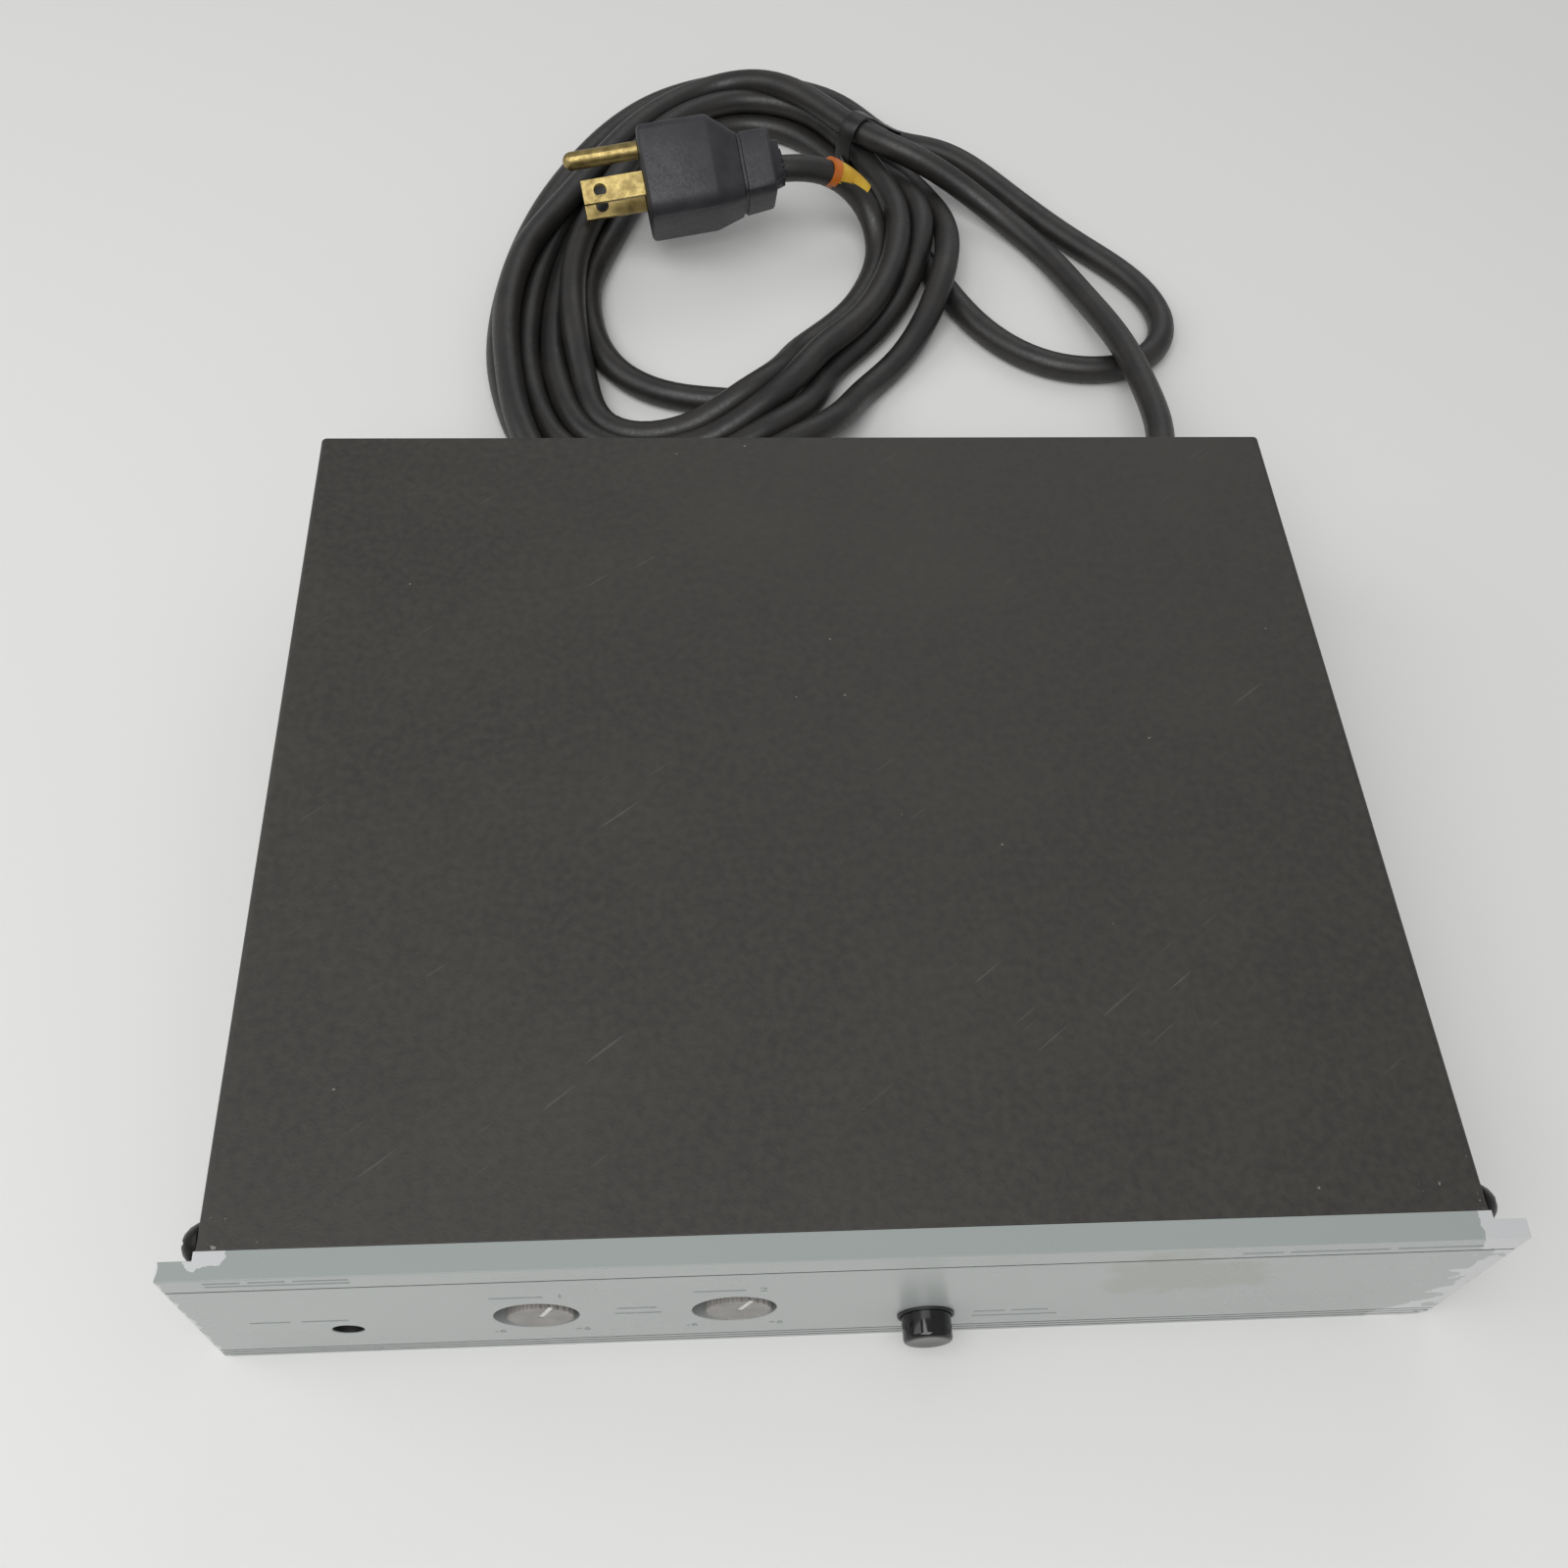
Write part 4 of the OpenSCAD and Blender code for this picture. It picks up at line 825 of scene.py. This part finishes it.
def torn_sleeve():
    """The last bit of the plug's relief: a short sleeve round the cord whose end is ragged."""
    bm = turned([(3.45, 0), (5.3, 0), (5.25, 1.5), (5.0, 3.0), (4.8, 4.1), (3.6, 4.4), (3.45, 0)], (0, 0, 0),
                steps=36, axis="X")
    bmesh.ops.translate(bm, verts=bm.verts, vec=(PLUG_LEN - 4.6, 0, 0))
    for v in bm.verts:
        if v.co.x > PLUG_LEN - 2.2:
            v.co.x += random.uniform(-1.1, 0.4)
            v.co.y *= random.uniform(0.97, 1.05)
    bmesh.ops.transform(bm, matrix=plug_place, verts=bm.verts)
    return bm


relief_end = piece("torn_relief", torn_sleeve(), plug_pvc, "case")
blades = softened("flat_blades", "plug_blades", brass, "case", edge=0.22)
earth_pin = softened("round_earth_pin", "plug_earth_pin", brass, "case", edge=0.15)


# ---- label round the lead beside the plug ----

# Both lie on the stretch that rises to the plug, each between two heights.
LABEL_Z = (14.2, 22.2)
LABEL_R = 3.85
OVERLAP_Z = (21.0, 22.5)
OVERLAP_R = 4.0
RISE_Y = 211
rise = [p for p in smooth_path(PLUG_LEAD, 0.8, 6) if p.y > RISE_Y]
wrap = [p for p in rise if LABEL_Z[0] < p.z < LABEL_Z[1]]
label = piece("lead_label", curve_mesh(line_curve("label", wrap, LABEL_R, resolution=6)), label_vinyl,
              "case")
lap = [p for p in rise if OVERLAP_Z[0] < p.z < OVERLAP_Z[1]]
overlap = piece("label_overlap", curve_mesh(line_curve("overlap", lap, OVERLAP_R, resolution=6)),
                orange_vinyl, "case")


# ---- strap round the turns ----

STRAP_AT = (29.5, 243, 0)
STRAP_HEADING = 45
STRAP_HALF_W = 2.3
# The outline of the strap: distance outward, then height.
STRAP = [(-9.6, 8.6), (-10.0, 4.2), (-8.6, 0.7), (-4, 0.45), (3, 0.45), (10, 0.45), (15.2, 0.7), (17.4, 3.6),
         (15.6, 7.2), (10.5, 10.8), (4.4, 15.6), (-0.2, 19.6), (-4.0, 21.4), (-8.0, 20), (-9.6, 15)]


def strap_ring():
    """A flat band that follows the outline, made in its own plane and then stood up across the turns."""
    band = bpy.data.curves.new("strap", "CURVE")
    band.dimensions = "2D"
    band.fill_mode = "NONE"
    band.extrude = STRAP_HALF_W
    band.bevel_depth = 0.32
    band.bevel_resolution = 1
    spline = band.splines.new("NURBS")
    spline.points.add(len(STRAP) - 1)
    for i, (out, height) in enumerate(STRAP):
        spline.points[i].co = (out, height, 0, 1)
    spline.use_cyclic_u = True
    spline.order_u = 3
    spline.resolution_u = 6
    bm = curve_mesh(band)
    spun(bm, 90, "X")
    spun(bm, STRAP_HEADING, "Z")
    bmesh.ops.translate(bm, verts=bm.verts, vec=STRAP_AT)
    return bm


strap = piece("strap_ring", strap_ring(), tie_vinyl, "case", ("cord_tie",), angle=50)


def twisted(name, route, step, radius):
    """A stretch of the strap that is twisted into a thin round string."""
    return curve_mesh(line_curve(name, smooth_path(route, step, 3), radius, resolution=2))


LOOP = [(22.5, 232.4, 8), (20.2, 230.2, 10.8), (20.8, 227.2, 12.6), (23.6, 226.4, 11.4), (25.2, 228.8, 9.2),
        (24.2, 232.6, 8.6), (22.2, 236, 10.6)]
strap_loop = piece("strap_loop", twisted("loop", LOOP, 0.7, 0.75), tie_vinyl, "case", angle=60)
TAIL = [(37, 240, 14.5), (40.5, 237.5, 14.2), (44.5, 234.6, 12.2), (48, 233.4, 9.6), (52, 233.8, 7.6),
        (56.5, 235.2, 7)]
loose_end = piece("strap_tail", twisted("tail", TAIL, 0.8, 0.7), tie_vinyl, "case", angle=60)


# ---- finishes of the parts that are shown as the CAD has them ----

FINISHES = {
    zinc: ("panel_bracket_left", "panel_bracket_right", "chassis_pan", "standoffs", "transformer_strap"),
    bare_steel: ("bracket_screws", "board_screws", "pot_shaft_1", "pot_shaft_2", "fuse_clips"),
    black_steel: ("rear_cover_screws", "socket_screws"),
    fibreglass_board: ("circuit_board",),
    black_moulding: ("trim_pot_1", "trim_pot_2", "lamp_holder", "bridge_rectifier", "voltage_regulators",
                     "op_amps", "output_inserts", "phono_block"),
    white_moulding: ("switch_plunger", "push_switch"),
    core_steel: ("transformer_core",),
    winding_tape: ("transformer_coil",),
    blue_sleeve: ("filter_capacitors", "signal_capacitors"),
    anodised: ("heat_sink",),
    fuse_glass: ("mains_fuse",),
    resistor_coat: ("resistors",),
    tinned_brass: ("output_pins", "phono_barrels"),
    phono_red: ("phono_insulators",),
    lens: ("indicator_lamp",),
}
for material, names in FINISHES.items():
    for name in names:
        mesh = nodes[name].data
        mesh.materials.clear()
        mesh.materials.append(material)


# ---- floor and light ----

FLOOR_HALF = 5.0
floor_bm = bmesh.new()
bmesh.ops.create_grid(floor_bm, x_segments=1, y_segments=1, size=FLOOR_HALF)
floor_mesh = bpy.data.meshes.new("floor")
floor_bm.to_mesh(floor_mesh)
floor_bm.free()
floor = link_object("floor", floor_mesh)
# Matt paper: pale, with no gloss.
paper, _, paper_shader, _ = new_material("matt_background_paper", Roughness=0.9)
paper_shader.inputs["Base Color"].default_value = linear("#dcdcda")
floor_mesh.materials.append(paper)

# Soft lights as (name, place, aim, side of the square, watts), in metres.
LIGHTS = [
    ("main_softbox", (-0.22, -0.5, 1.05), (0.0, 0.02, 0.0), 0.9, 9.6),
    ("left_fill", (-0.9, 0.1, 0.7), (0.0, 0.05, 0.0), 0.7, 2.4),
    ("back_fill", (0.3, 1.0, 0.9), (0.0, 0.1, 0.0), 0.8, 1.6),
]
for name, at, aim, size, power in LIGHTS:
    light = bpy.data.lights.new(name, "AREA")
    light.shape = "SQUARE"
    light.size = size
    light.energy = power
    obj = link_object(name, light)
    obj.location = at
    obj.rotation_euler = (Vector(aim) - Vector(at)).to_track_quat("-Z", "Y").to_euler()

world = bpy.data.worlds.new("studio")
world.use_nodes = True
backdrop = world.node_tree.nodes["Background"]
backdrop.inputs["Color"].default_value = linear("#f2f3f5")
backdrop.inputs["Strength"].default_value = 0.4
bpy.context.scene.world = world
bpy.context.scene.view_settings.view_transform = "Standard"
